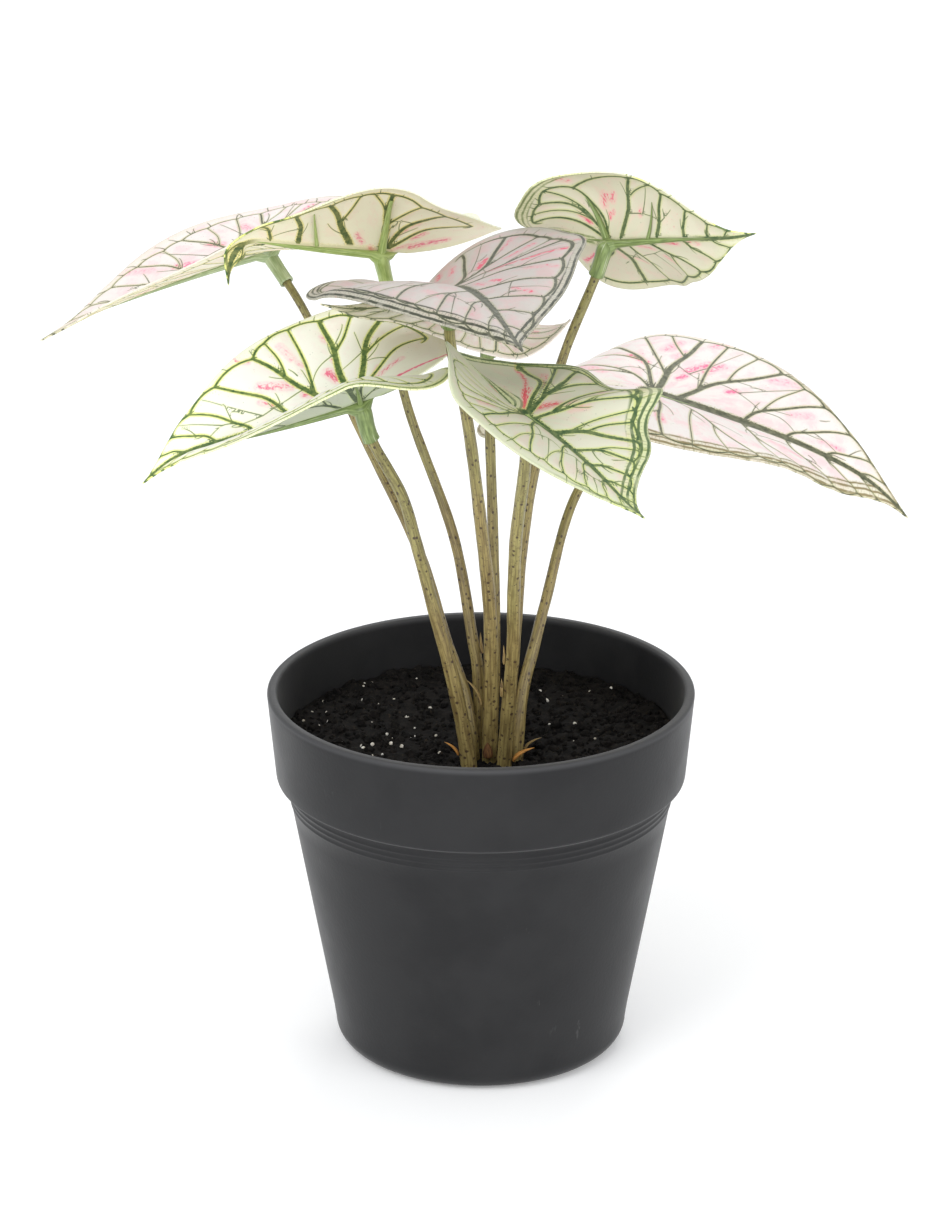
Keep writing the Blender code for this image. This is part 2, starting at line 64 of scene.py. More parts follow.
RING_SECTION = (
    (-0.00055, 0.0), (-0.0003, 0.000132), (0.0, 0.00022), (0.0003, 0.000132), (0.00055, 0.0))

# Soil: fills the pot to below the lip and dips towards the stems. Its height is given at three
# radii; each size of lump has a height, how often it comes in a metre, and a shift.
GAP = 0.0003
SOIL_GAP = 0.0023
SOIL_STEP = 0.0011
SOIL_MIDDLE_Z = 0.0945
SOIL_RADII = (0.018, 0.045, 0.061)
SOIL_HEIGHTS = (SOIL_MIDDLE_Z, 0.0975, 0.0985)
SOIL_LUMPS = ((0.0011, 85, 0.3), (0.0011, 240, 4.1), (0.0007, 620, 8.7))

# What lies strewn on the soil, out to a radius: how many lumps a square metre where they lie
# thickest, their radii, how flat and how ragged they are, and the seed of their places.
STREWN = {
    "soil_crumbs": dict(
        density=160000.0, smallest=0.0004, largest=0.0011, flatness=0.75, raggedness=1.1, seed=4),
    "soil_clods": dict(
        density=26000.0, smallest=0.0010, largest=0.0021, flatness=0.7, raggedness=1.3, seed=9),
    "perlite": dict(
        density=20000.0, smallest=0.00025, largest=0.0008, flatness=0.8, raggedness=0.9, seed=21),
}
STREWN_RADIUS = 0.0585
STREW_GAP = 0.0025
STREW_STEP = 0.0015

# Stems and rib frames. A rib frame's collar takes the stem's end, and its main rib runs under the
# midrib from RIB_BACK to RIB_FRONT, in leaf sizes from the hub. Sunk is how far below the sheet a
# rib's middle lies, in its radii.
STEM_DEPTH = 0.012
STEM_SIDES = 24
STEM_STEP = 0.0014
STEM_TAPER = 1.3
COLLAR_LENGTH = 0.010
COLLAR_WALL = 0.0006
SOCKET_CLEARANCE = 0.0003
RIB_BACK = -0.09
RIB_FRONT = 0.70
RIB_TOP_RADIUS = 0.00125
RIB_SUNK = 0.75
SIDE_RIB_SUNK = 0.7
COLLAR_SIDES = 28
RIB_SIDES = 16
SIDE_RIB_SIDES = 14
SHEATH_SIDES = 16
SHEATH_FLATNESS = 0.45

# A direction that no path starts along, from which its first side vector is made.
FIRST_SIDE = (0.31, 0.95, 0.05)

# Leaf blades: stiff printed sheets. Grooves lie along the veins, the sheet puffs up between them,
# and the margin turns down over ROLL_WIDTH millimetres.
BLADE_THICKNESS = 0.0007
BLADE_GAP = 0.0004
SHEET_THICKNESS = 0.0005
BLADE_STEP = 0.00056
LATTICE_BACK = 0.60
LATTICE_REACH = 0.54
TIP_REACH = 0.9
BACK_REACH = 0.55
TIP_DROOP_START = 0.65
TIP_DROOP_LENGTH = 0.35
CREASE = 0.022
GROOVE_DEPTH = 0.00022
PUFF_HEIGHT = 0.0003
ROLL_WIDTH = 4.0

# Places along the midrib, in leaf sizes from the hub, at which its frame is worked out.
MIDRIB = np.linspace(-0.75, 1.05, 181)

# Half of the leaf's flat outline, from the tip round the lobe to the notch behind the hub:
# (along the midrib, across it), in units of the leaf's size, measured from the hub.
OUTLINE = [
    (1.0, 0.0), (0.93, 0.016), (0.84, 0.055), (0.70, 0.155), (0.50, 0.305), (0.25, 0.445),
    (0.0, 0.525), (-0.22, 0.53), (-0.42, 0.455), (-0.55, 0.32), (-0.59, 0.18), (-0.51, 0.06),
    (-0.33, 0.012), (-0.14, 0.0),
]

# Each leaf: where its hub is, how long it is, and which way it points. Lobes is the length of its
# back lobes against the outline's. Fold and curl say how its left and its right half bend, in
# degrees, each at the (back lobe, hub, tip). Pleats are (angle from the midrib, spread, height).
# Pulls move a place of the blade: (u, v, spread, millimetres in space). A stem rises from its
# foot (x, y) through its points to the hub; its radii are those of its foot and its end.
LEAVES = {
    "far_left": dict(
        hub=(-0.066, 0.078, 0.2295), size=0.0785, width=1.01, lobes=0.65, heading=173, pitch=-19,
        roll=8, droop=7, tip_droop=4, back=10, bend=8, twist=-9, stem_radius=(0.002, 0.0013),
        fold=((14, 6, 22), (12, 21, 17)), curl=((2, 11, -11), (-2, -16, 30)),
        stem=[(-0.0022, -0.005), (-0.005, 0.0015, 0.1125), (-0.0105, 0.009, 0.1265),
            (-0.018, 0.021, 0.1485), (-0.037, 0.043, 0.1825), (-0.0545, 0.0655, 0.2135)]),
    "upper_left": dict(
        hub=(-0.03, 0.02, 0.2465), size=0.0625, width=0.97, lobes=1, heading=206, pitch=10,
        roll=21, droop=-9, tip_droop=115, back=-27, bend=16, twist=69, stem_radius=(0.002, 0.0013),
        fold=((40, 53, -27), (2, 30, 39)), curl=((-1, -51, -12), (-7, 0, 9)),
        pulls=[(-0.45, -0.4, 0.3, (0, 0, -6)), (0.84, 0.05, 0.07, (-2, 0, 0)),
            (0.84, -0.05, 0.07, (2.5, 0, 0))],
        stem=[(-0.0005, 0.0015), (-0.001, 0.0035, 0.1195), (-0.0025, 0.0045, 0.1285),
            (-0.008, 0.0095, 0.159), (-0.023, 0.018, 0.202), (-0.028, 0.0215, 0.2345)]),
    "lower_left": dict(
        hub=(-0.0355, -0.028, 0.2155), size=0.069, width=1.21, lobes=0.73, heading=183, pitch=-18,
        roll=-16, droop=-5, tip_droop=32, back=-11, bend=-1, twist=-16, stem_radius=(0.0026, 0.0016),
        fold=((20, 62, 44), (-20, 15, 42)), curl=((-17, -32, -18), (10, -13, -38)),
        stem=[(-0.0036, -0.0135), (-0.0075, -0.015, 0.119), (-0.0145, -0.0175, 0.1485),
            (-0.0195, -0.021, 0.17), (-0.023, -0.0225, 0.1835), (-0.0325, -0.0265, 0.204)]),
    "centre": dict(
        hub=(-0.0095, -0.046, 0.2555), size=0.074, width=1.04, lobes=1, heading=-72, pitch=19,
        roll=-20, droop=37, tip_droop=-13, back=16, bend=-3, twist=-7, stem_radius=(0.0025, 0.0016),
        fold=((71, 40, 30), (44, -5, -29)), curl=((-38, -2, -19), (-95, -24, -14)),
        pulls=[(0.12, 0.49, 0.12, (3, 0, 0.5)), (-0.22, -0.32, 0.2, (0, 0, -3)),
            (-0.15, -0.56, 0.16, (2.5, 0, 1))],
        stem=[(0.0026, -0.008), (0.003, -0.0145, 0.133), (0.0025, -0.0175, 0.1485),
            (0.0005, -0.023, 0.1705), (-0.004, -0.0335, 0.211), (-0.009, -0.041, 0.2385)]),
    "upper_right": dict(
        hub=(0.038, -0.005, 0.2565), size=0.0515, width=1.03, lobes=1, heading=-44, pitch=16,
        roll=-49, droop=9, tip_droop=-9, back=-28, bend=17, twist=-19, stem_radius=(0.002, 0.0014),
        fold=((3, 16, -15), (-14, 68, 0)), curl=((-28, -7, 5), (3, -89, 14)),
        pulls=[(-0.6, -0.25, 0.17, (3, 0, -4.5)), (-0.42, -0.47, 0.12, (2, 0, 0)),
            (0.38, 0.4, 0.13, (-0.5, 0, 0.8)), (0.64, 0.22, 0.15, (1, 0, -0.3))],
        stem=[(0.008, 0.0025), (0.0105, 0.0015, 0.132), (0.0125, 0.0, 0.16), (0.016, -0.0015, 0.185),
            (0.024, -0.004, 0.2205), (0.0335, -0.0045, 0.246)]),
    "front": dict(
        hub=(0.0125, -0.078, 0.228), size=0.0515, width=1.26, lobes=1, heading=-42, pitch=-17,
        roll=-27, droop=11, tip_droop=-14, back=-27, bend=-12, twist=14, stem_radius=(0.0023, 0.0018),
        fold=((-26, 53, 40), (-11, -3, -7)), curl=((69, -26, -9), (20, -4, -8)),
        pleats=[(54, 13, 0.085), (86, 17, -0.05)],
        pulls=[(0.29, 0.44, 0.14, (7, 0, 0.5)), (0.58, 0.24, 0.14, (2.6, 0, 0))],
        stem=[(0.007, -0.013), (0.0085, -0.022, 0.122), (0.0095, -0.0295, 0.139),
            (0.0095, -0.0375, 0.156), (0.01, -0.0505, 0.181), (0.0125, -0.068, 0.212)]),
    "far_right": dict(
        hub=(0.053, 0.045, 0.1935), size=0.0885, width=1.08, lobes=1, heading=-11, pitch=-14,
        roll=8, droop=16, tip_droop=19, back=41, bend=9, twist=23, stem_radius=(0.0022, 0.0013),
        fold=((-6, 3, 4), (-16, 32, -4)), curl=((-8, -13, -5), (18, -33, 71)),
        pulls=[(0.55, -0.27, 0.22, (0, 0, 3.5))],
        stem=[(0.0107, -0.0085), (0.0125, -0.0035, 0.114), (0.016, 0.0045, 0.126),
            (0.0195, 0.012, 0.1375), (0.0295, 0.0285, 0.1675), (0.0485, 0.0415, 0.188)]),
    "inner": dict(
        hub=(0.0015, -0.002, 0.2335), size=0.0445, width=0.96, lobes=0.9, heading=207, pitch=16,
        roll=11, droop=12, tip_droop=-2, back=8, bend=-23, twist=-16, stem_radius=(0.002, 0.0015),
        fold=((20, -28, -17), (7, -6, -5)), curl=((15, -7, 5), (2, 0, 0)),
        pulls=[(-0.5, 0.38, 0.25, (-2, 0, -5)), (1.0, 0.0, 0.25, (-6.5, 0, -0.5)),
            (0.82, 0.08, 0.15, (-1, 0, -2))],
        stem=[(0.0032, -0.0015), (0.004, -0.0015, 0.124), (0.004, -0.0015, 0.1425),
            (0.0035, -0.0015, 0.166), (0.0025, -0.002, 0.1985), (0.002, -0.002, 0.2225)]),
}

# Side veins of one half: where each leaves the midrib, u and v where it meets the looping vein, in
# hundredths of the leaf's size, with v counted from the midrib outwards, and its half-width in
# millimetres at the midrib on a leaf of VEIN_SIZE. The first ones run straighter. Branches: (side
# vein, share of its length at which it forks, u and v where the branch ends, half-width).
VEIN_SIZE = 0.075
VEIN_WAVE = 0.020
STRAIGHT_VEINS = 4
BRANCH_BEND = (-0.012, 0.008)
SIDE_VEINS = [
    (0, -48, 33.5, 0.36), (0, -26, 48.5, 0.6), (0, 9, 46.8, 1.05), (7, 41, 33.5, 0.88),
    (32, 58.5, 22.5, 0.6), (48, 69.5, 14.5, 0.48), (63, 79, 7.7, 0.38), (76, 87, 3.6, 0.3),
]
BRANCHES = [
    (0, 0.3, -50, 17, 0.24), (1, 0.45, -39, 43, 0.26), (2, 0.34, -13, 50, 0.34),
    (2, 0.66, -3, 50, 0.24), (3, 0.3, 19, 45, 0.36), (3, 0.62, 31, 39.8, 0.24),
    (4, 0.4, 50, 28.5, 0.2),
]

# Halves, left 1 and right -1, whose print has veins and branches of its own.
OWN_VEINS = {
    ("upper_right", -1): (
        [(0, -34, 36, 0.62), (0, -14, 38, 0.6), (8, 29, 40, 1.0), (35, 47, 28, 0.85),
         (54, 61, 18, 0.65), (69, 73, 10, 0.45), (80, 84, 5, 0.32)],
        [(0, 0.4, -27, 44, 0.3), (2, 0.68, 41, 34, 0.26), (0, 0.12, -45, 27, 0.5),
         (0, 0.45, -41, 32, 0.24)]),
    ("upper_right", 1): (
        [(0, -42, 36, 0.5), (2, -14, 47, 0.95), (12, 5, 46, 0.5), (26, 53, 23, 0.75),
         (52, 69, 14, 0.5), (70, 82, 6, 0.36)],
        [(3, 0.5, 38, 32, 0.28)]),
    ("centre", 1): (
        [(0, -46, 30, 0.6), (0, -32, 42, 0.8), (0, 4, 45, 0.95), (8, 25, 38, 0.62),
         (28, 40, 30, 0.52), (44, 54, 21, 0.44), (58, 66, 13, 0.36), (73, 80, 6, 0.3)],
        [(1, 0.45, -15, 46, 0.36), (2, 0.55, -5, 46, 0.26)]),
    ("front", 1): (
        [(0, -40, 44, 0.8), (0, -14, 46, 0.95), (4, 27, 34, 0.6), (18, 51, 23, 1.15),
         (36, 61, 15, 0.62), (50, 69, 10, 0.5), (64, 77, 6, 0.42), (78, 86, 3, 0.34)],
        [(1, 0.4, 2, 46, 0.6), (2, 0.35, 12, 42, 0.62), (3, 0.55, 40, 29, 0.4),
         (1, 0.3, -26, 47, 0.5), (2, 0.7, 20, 38.5, 0.26), (3, 0.3, 34, 32, 0.28),
         (4, 0.45, 56, 20, 0.24)]),
    ("lower_left", -1): (
        [(0, -46, 33, 0.45), (0, -23, 43, 1.0), (3, 9, 45.5, 1.1), (12, 40, 30, 0.95),
         (28, 58.5, 21, 0.62), (46, 71, 13, 0.46), (62, 80, 7.5, 0.38), (76, 87, 3.6, 0.3)],
        [(2, 0.62, -7, 45.5, 0.4), (3, 0.34, 23, 43, 0.4), (3, 0.66, 34, 37, 0.3),
         (1, 0.5, -36, 42, 0.3)]),
    ("upper_left", 1): (
        [(0, -40, 35, 0.5), (0, -22, 42, 0.75), (0, 10.5, 42, 1.2), (16, 42, 29, 1.15),
         (46, 59, 21, 0.9), (62, 72, 12, 0.5), (76, 86, 3.6, 0.3)],
        [(3, 0.58, 27, 37, 0.38), (2, 0.6, 20, 40, 0.26), (2, 0.45, -7, 42, 0.3)]),
}

# The looping vein: how far it bulges between two side veins and in how many steps it is drawn
# there, where it starts beside the first vein's end, where it ends, and its half-width in
# millimetres at these shares of its way from the notch to the tip.
LOOP_BULGE = 0.10
LOOP_STEPS = 7
LOOP_START = (0.03, -0.05)
LOOP_END = (0.95, 0.004)
LOOP_SHARES = (0.0, 0.12, 0.5, 1.0)
LOOP_WIDTHS = (0.10, 0.50, 0.42, 0.20)

# The inked midrib: where it starts and ends, and its half-width there in millimetres.
MIDRIB_ENDS = (-0.03, 0.985)
MIDRIB_WIDTH = (2.5, 0.45)

# Fine veins: their half-width in millimetres where they start and end, how many neighbouring side
# veins are linked and how many links fork. Reach is the length of those beside a side vein (as
# given where that is as long as LONG_VEIN), of lone ones and of ticks outside the looping vein.
FINE_WIDTH = (0.16, 0.05)
LINKED = 0.62
FORKED = 0.6
LONG_VEIN = 0.40
VEINLET_REACH = (0.05, 0.16)
LONE_REACH = (0.03, 0.05)
TICK_REACH = (0.012, 0.05)
TICK_STEP = 4

# How each leaf is printed. Upper and under name a finish in FINISHES, and rib one in RIB_TONES;
# pink is the share of pink cloud; inset is how much shorter the side veins are than in SIDE_VEINS,
# which leaves a wider border. Of these, each has a value for the left and the right half: bold is
# how wide the veins are; fringe is how deep the lines along the margin reach, at FRINGE_PLACES;
# rolled is how far the margin turns down, in millimetres. Streaks are hot pink strokes: (from u, v,
# to u, v, in hundredths of the leaf's size, half-width in millimetres, strength).
FRINGE_PLACES = (-0.40, 0.15, 0.75)
PRINTS = {
    "far_left": dict(
        upper="faded", under="cream", rib="pale_rib", seed=3, pink=0.6, inset=0.1,
        bold=(0.5, 0.4), fringe=((0.1, 0.1, 0.1), (0.3, 0.1, 0.1)), rolled=(0.4, 0.6), streaks=[
            (10, -25, 14, -31, 1.6, 0.75), (21, -17, 26, -21, 1.7, 1.0), (31, -8, 40, -11, 1.5, 1.0),
            (50, -14, 62, -20, 2.0, 0.6), (-12, -27, -20, -40, 1.6, 0.9), (40, 5, 55, 8, 1.3, 0.6)]),
    "upper_left": dict(
        upper="fresh", under="cream", rib="lime_rib", seed=5, pink=0.4, inset=0.05,
        bold=(1, 0.8), fringe=((0.1, 0.1, 0.45), (0.1, 0.1, 0.45)), rolled=(0.6, 0.8), streaks=[
            (12, 6, 16, 10, 1.0, 0.95), (5, 2, 7, 3, 1.2, 1.0), (-4, 12, -8, 18, 1.0, 0.9),
            (-14, 12, -19, 17, 1.3, 0.95), (-10, 20, -13, 25, 1.2, 0.6), (-14, 5, -32, 11, 1.5, 1.0),
            (-5, 3, -14, 7, 0.9, 0.8), (20, -12, 30, -20, 1.5, 0.7)]),
    "lower_left": dict(
        # Its under face takes the shade finish, which is painted shade.
        upper="fresh", under="shade", rib="green_rib", seed=7, pink=0.28, inset=0.07,
        bold=(0.8, 1), fringe=((0.45, 0.4, 0.3), (0.1, 0.1, 0.1)), rolled=(0.8, 0.6), streaks=[
            (7, -13, 10, -17, 1.7, 1.15), (6, -21, 7, -23, 0.8, 1.0), (8, -33, 9, -36, 1.4, 0.62),
            (24, -27, 28, -34, 1.6, 0.62), (20, -23, 22, -25, 0.9, 0.85),
            (43, -29, 49, -31, 1.6, 0.72), (27, -15, 40, -17, 1.9, 0.85), (19, -9, 22, -10, 1.3, 1.0),
            (36, -9, 41, -11, 1.1, 0.8), (-6, -2, -56, -11, 0.55, 1.5), (-8, -6, -30, -16, 1.0, 0.8),
            (-12, -10, -16, -14, 1.0, 0.8)]),
    "centre": dict(
        # Both faces carry painted shade: the shaded finish above and the shade finish below.
        upper="shaded", under="shade", rib="green_rib", seed=11, pink=0.7, inset=0.07,
        bold=(1.15, 0.7), fringe=((0.1, 0.45, 0.8), (1.2, 1.1, 1.0)), rolled=(0.8, 1.8), streaks=[
            (-38, 13, -45, 17, 1.4, 1.0), (-29, 14, -36, 19, 1.2, 0.9), (-13, 19, -19, 25, 1.7, 1.2),
            (-20, 32, -27, 44, 1.4, 0.75), (-6, 28, -8, 40, 1.3, 0.8), (5, 17, 10, 25, 1.3, 1.2),
            (12, 28, 16, 42, 1.3, 1.0), (24, 11, 27, 13, 1.2, 1.1), (20, 6, 25, 7, 1.1, 0.9),
            (41, 14, 48, 18, 1.4, 0.75), (24, 25, 31, 34, 1.6, 0.6), (10, 46, 12, 50, 1.4, 0.8),
            (36, -18, 44, -14, 2.6, 0.42), (58, -9, 66, -9, 2.4, 0.42)]),
    "upper_right": dict(
        upper="fresh", under="parchment", rib="green_rib", seed=13, pink=0.42, inset=0.08,
        bold=(0.9, 0.95), fringe=((0.1, 0.1, 0.1), (1.0, 0.2, 0.1)), rolled=(0.7, 0.7), streaks=[
            (-1, -23, 3, -29, 1.7, 0.9), (6, -25, 9, -29, 1.3, 0.95), (-14, -13, -18, -18, 1.3, 1.15),
            (1, -15, 2, -18, 0.8, 1.1), (4, -17, 5, -19, 0.7, 1.0), (24, -15, 26, -18, 0.9, 0.8),
            (-13, -45, -16, -50, 1.6, 0.8), (38, 2, 46, 3, 1.4, 0.95), (53, 2, 60, 3, 1.2, 0.9),
            (18, 5, 25, 8, 1.4, 0.8), (30, 16, 34, 20, 1.3, 0.7), (1, 20, 4, 27, 1.3, 0.6),
            (-3, 10, -7, 20, 1.2, 0.6), (-10, 4, -44, 30, 0.8, 1.25)]),
    "front": dict(
        # Its upper face takes the pale finish, which is painted shade.
        upper="pale", under="cream", rib="lime_rib", seed=17, pink=0.45, inset=0.11,
        bold=(1, 0.7), fringe=((0.6, 1.5, 1.1), (0.1, 0.1, 0.3)), rolled=(0.8, 0.7), streaks=[
            (-3, 2, -16, 13, 1.0, 1.25), (-14, 11, -42, 45, 0.6, 1.2), (-10, 9, -16, 16, 1.0, 0.95),
            (-2, 6, 6, 15, 2.0, 1.0), (8, 14, 12, 20, 1.6, 0.6), (-22, -2, -27, -2, 1.2, 1.1),
            (-3, -26, -5, -35, 1.9, 0.62), (-12, 21, -25, 37, 1.2, 0.75), (11, 30, 13, 34, 1.1, 0.85),
            (15, 16, 19, 21, 1.5, 0.6)]),
    "far_right": dict(
        upper="faded", under="cream", rib="lime_rib", seed=19, pink=0.6, inset=0.01,
        bold=(0.88, 0.45), fringe=((0.1, 0.1, 0.4), (0.5, 1.2, 1.2)), rolled=(0.5, 1.2), streaks=[
            (-7, 20, -14, 27, 1.6, 1.1), (-2, 33, 1, 42, 2.4, 0.75), (2, 28, 5, 34, 2.0, 0.6),
            (6, 13, 8, 16, 1.3, 1.15), (8, 19, 15, 28, 2.0, 1.0), (14, 22, 19, 28, 2.2, 0.85),
            (24, 13, 27, 15, 1.3, 1.2), (14, 42, 18, 47, 2.2, 0.85), (38, 27, 46, 29, 2.4, 0.62),
            (47, 12, 54, 15, 2.2, 0.5), (5, -33, 7, -38, 1.6, 0.8), (44, -10, 55, -11, 1.7, 0.5),
            (-20, 10, -30, 20, 2.0, 0.6), (60, 5, 68, 6, 1.6, 0.5)]),
    "inner": dict(
        upper="blush", under="blush", rib="green_rib", seed=23, pink=0.7, inset=0.04,
        bold=(0.55, 0.55), fringe=((0.1, 0.1, 0.2), (0.1, 0.1, 0.2)), rolled=(0.3, 0.3), streaks=[
            (10, 12, 20, 22, 1.2, 0.9), (10, -12, 20, -24, 1.2, 0.9), (-10, 16, -24, 30, 1.2, 0.9),
            (-10, -14, -22, -28, 1.2, 0.9)]),
}

# Printed finishes, as linear colours: the ground, its pink cloud, the ink of the veins, the lines
# along the margin, the halo beside the veins, the ground near the margin, and the hot strokes.
# The pale, shaded and shade finishes are the print darkened all over: painted shade.
FINISH_PARTS = ("ground", "cloud", "ink", "trim", "halo", "border", "stroke")
FINISHES = {
    "fresh": (
        (0.9, 0.89, 0.8), (0.93, 0.64, 0.66), (0.045, 0.115, 0.028), (0.15, 0.24, 0.04),
        (0.74, 0.78, 0.19), (0.88, 0.89, 0.71), (0.85, 0.12, 0.24)),
    # Pale: the beige print darkened all over as painted shade, for the front leaf's shaded back half.
    "pale": (
        (0.6, 0.59, 0.465), (0.72, 0.46, 0.43), (0.04, 0.09, 0.032), (0.055, 0.11, 0.035),
        (0.54, 0.59, 0.2), (0.57, 0.6, 0.42), (0.7, 0.045, 0.085)),
    # Shaded: the print greyed and darkened all over as painted shade, its margin lines darkest as
    # painted shade where the edge turns down.
    "shaded": (
        (0.5, 0.455, 0.415), (0.62, 0.35, 0.36), (0.05, 0.056, 0.03), (0.02, 0.027, 0.012),
        (0.42, 0.4, 0.28), (0.45, 0.44, 0.37), (0.66, 0.07, 0.13)),
    "faded": (
        (0.86, 0.8, 0.76), (0.93, 0.5, 0.56), (0.065, 0.072, 0.035), (0.24, 0.19, 0.08),
        (0.58, 0.56, 0.33), (0.84, 0.77, 0.66), (0.9, 0.13, 0.3)),
    "cream": (
        (0.87, 0.83, 0.655), (0.93, 0.62, 0.56), (0.06, 0.105, 0.036), (0.17, 0.23, 0.06),
        (0.76, 0.68, 0.22), (0.86, 0.84, 0.6), (0.82, 0.12, 0.24)),
    "parchment": (
        (0.635, 0.605, 0.465), (0.76, 0.5, 0.45), (0.05, 0.095, 0.034), (0.16, 0.21, 0.07),
        (0.54, 0.56, 0.27), (0.66, 0.66, 0.47), (0.74, 0.09, 0.19)),
    "blush": (
        (0.93, 0.86, 0.82), (0.93, 0.58, 0.62), (0.09, 0.12, 0.06), (0.35, 0.33, 0.18),
        (0.74, 0.7, 0.48), (0.9, 0.82, 0.75), (0.88, 0.14, 0.3)),
    # Shade: a grey-green underside, darkened all over as painted shade.
    "shade": (
        (0.5, 0.53, 0.42), (0.6, 0.52, 0.45), (0.06, 0.085, 0.055), (0.1, 0.14, 0.06),
        (0.5, 0.56, 0.3), (0.46, 0.54, 0.3), (0.62, 0.25, 0.28)),
}

# Ribs under the blades besides the one under the midrib: flat places that each passes, and its
# radius in millimetres where it starts and where it ends.
SIDE_RIBS = {
    "upper_right": [
        ([(0.0, 0.0), (-0.06, -0.12), (-0.10, -0.24), (-0.11, -0.30)], 1.25, 0.15),
        ([(0.29, -0.01), (0.325, -0.10), (0.37, -0.22)], 0.60, 0.12),
        ([(0.0, 0.0), (-0.08, -0.025), (-0.18, -0.03)], 0.70, 0.12)],
    "upper_left": [
        ([(0.0, 0.0), (0.035, 0.19), (0.085, 0.37)], 1.30, 0.55),
        ([(0.36, 0.02), (0.41, 0.11), (0.48, 0.22)], 0.62, 0.20)],
}
PAIRED_RIBS = [
    ([(0.0, 0.0), (-0.02, 0.12), (-0.03, 0.26)], 1.0, 0.12),
    ([(0.0, 0.0), (-0.02, -0.12), (-0.03, -0.26)], 1.0, 0.12),
]

# Plastics of the rib frames: their dark and light green.
RIB_TONES = {
    "green_rib": ((0.110, 0.160, 0.045), (0.275, 0.360, 0.125)),
    "lime_rib": ((0.235, 0.330, 0.080), (0.470, 0.570, 0.220)),
    "pale_rib": ((0.250, 0.330, 0.150), (0.480, 0.560, 0.330)),
}

# Dried sheath tips beside the stems: (stem, height of its foot, bearing round the stem,
# lean away from it, length, radius, finish).
SHEATH_TIPS = [
    ("centre", 0.1135, 185, 28, 0.0100, 0.0009, "tan_sheath"),
    ("upper_left", 0.1240, -15, 6, 0.0065, 0.0008, "tan_sheath"),
    ("front", 0.1330, 180, 4, 0.0075, 0.0008, "tan_sheath"),
    ("front", 0.1210, 200, 3, 0.0070, 0.0008, "tan_sheath"),
    ("far_right", 0.1120, 190, 5, 0.0065, 0.0008, "orange_sheath"),
    ("lower_left", 0.0985, 180, 38, 0.0060, 0.0008, "orange_sheath"),
    ("front", 0.0965, -5, 50, 0.0080, 0.0011, "orange_sheath"),
    ("far_right", 0.0980, -5, 52, 0.0062, 0.0008, "tan_sheath"),
    ("centre", 0.0965, -100, 6, 0.0055, 0.0014, "brown_bract"),
]

# Dried plastics: their light and dark brown.
SHEATH_TONES = {
    "tan_sheath": ((0.46, 0.34, 0.14), (0.22, 0.14, 0.05)),
    "orange_sheath": ((0.60, 0.30, 0.07), (0.32, 0.13, 0.03)),
    "brown_bract": ((0.26, 0.13, 0.05), (0.10, 0.045, 0.022)),
}

# Stage: lights are (name, place, size, power), and all of them face LIT_PLACE. The camera looks
# level along +Y, tilted down.
FLOOR_REACH = 9.0
FLOOR_GLOW = 0.14
ROOM_COLOUR = (0.95, 0.97, 1.0, 1.0)
ROOM_STRENGTH = 0.79
LIT_PLACE = (0, 0, 0.15)
LIGHTS = (
    ("key_light", (-0.9, -1.1, 1.5), 1.1, 14.5),
    ("fill_light", (1.3, -0.9, 0.9), 1.0, 6.5),
    ("back_light", (0.3, 1.3, 1.3), 0.9, 7.0),
    ("low_light", (-0.1, -1.25, 0.12), 0.9, 7.5),
)
CAMERA_PLACE = (-0.00332, -1.4, 0.6751)
CAMERA_TILT = 20.9
LENS = 147.24


def ease(x):
    """Goes smoothly from 0 to 1 as x does."""
    x = np.clip(x, 0, 1)
    return x * x * (3 - 2 * x)


def unit(vectors):
    """The same vectors, each of length one."""
    return vectors / np.linalg.norm(vectors, axis=-1, keepdims=True)


def read_rows(at, along, rows):
    """Rows that are given at places along a line, read between them."""
    return np.stack([np.interp(at, along, column) for column in rows.T], -1)


def running_length(points):
    """How far along a line each of its points lies."""
    return np.concatenate([[0], np.cumsum(np.linalg.norm(np.diff(points, axis=0), axis=1))])


def smooth_curve(points, per_span):
    """Points on a centripetal Catmull-Rom curve through the given ones."""
    given = np.array(points, float)
    given = np.vstack([2 * given[0] - given[1], given, 2 * given[-1] - given[-2]])
    found = []
    for i in range(1, len(given) - 2):
        near = given[i - 1:i + 3]
        knots = np.concatenate([[0], np.cumsum(np.linalg.norm(np.diff(near, axis=0), axis=1) ** 0.5)])
        spans = ((knots[:3], knots[1:]), (knots[:2], knots[2:]), (knots[1:2], knots[2:3]))
        for t in np.linspace(knots[1], knots[2], per_span, endpoint=False):
            level = near
            for low, high in spans:
                share = ((t - low) / (high - low))[:, None]
                level = level[:-1] + (level[1:] - level[:-1]) * share
            found.append(level[0])
    found.append(given[-2])
    return np.array(found)


class Path:
    """A curve in space with a frame that doesn't twist, read by the distance along it."""

    def __init__(self, points):
        self.points = np.array(points, float)
        self.along = running_length(self.points)
        self.length = self.along[-1]
        self.tangents = unit(np.gradient(self.points, self.along, axis=0))
        side = np.cross(self.tangents[0], FIRST_SIDE)
        sides = []
        for tangent in self.tangents:
            side = unit(side - tangent * side.dot(tangent))
            sides.append(side)
        self.sides = np.array(sides)

    def at(self, distances):
        """The points, tangents and side vectors there; past an end the curve goes on straight."""
        distances = np.atleast_1d(distances)
        tangents = unit(read_rows(distances, self.along, self.tangents))
        past = distances - np.clip(distances, 0.0, self.length)
        points = read_rows(distances, self.along, self.points) + tangents * past[:, None]
        sides = read_rows(distances, self.along, self.sides)
        sides = sides - tangents * np.sum(sides * tangents, axis=1)[:, None]
        return points, tangents, unit(sides)


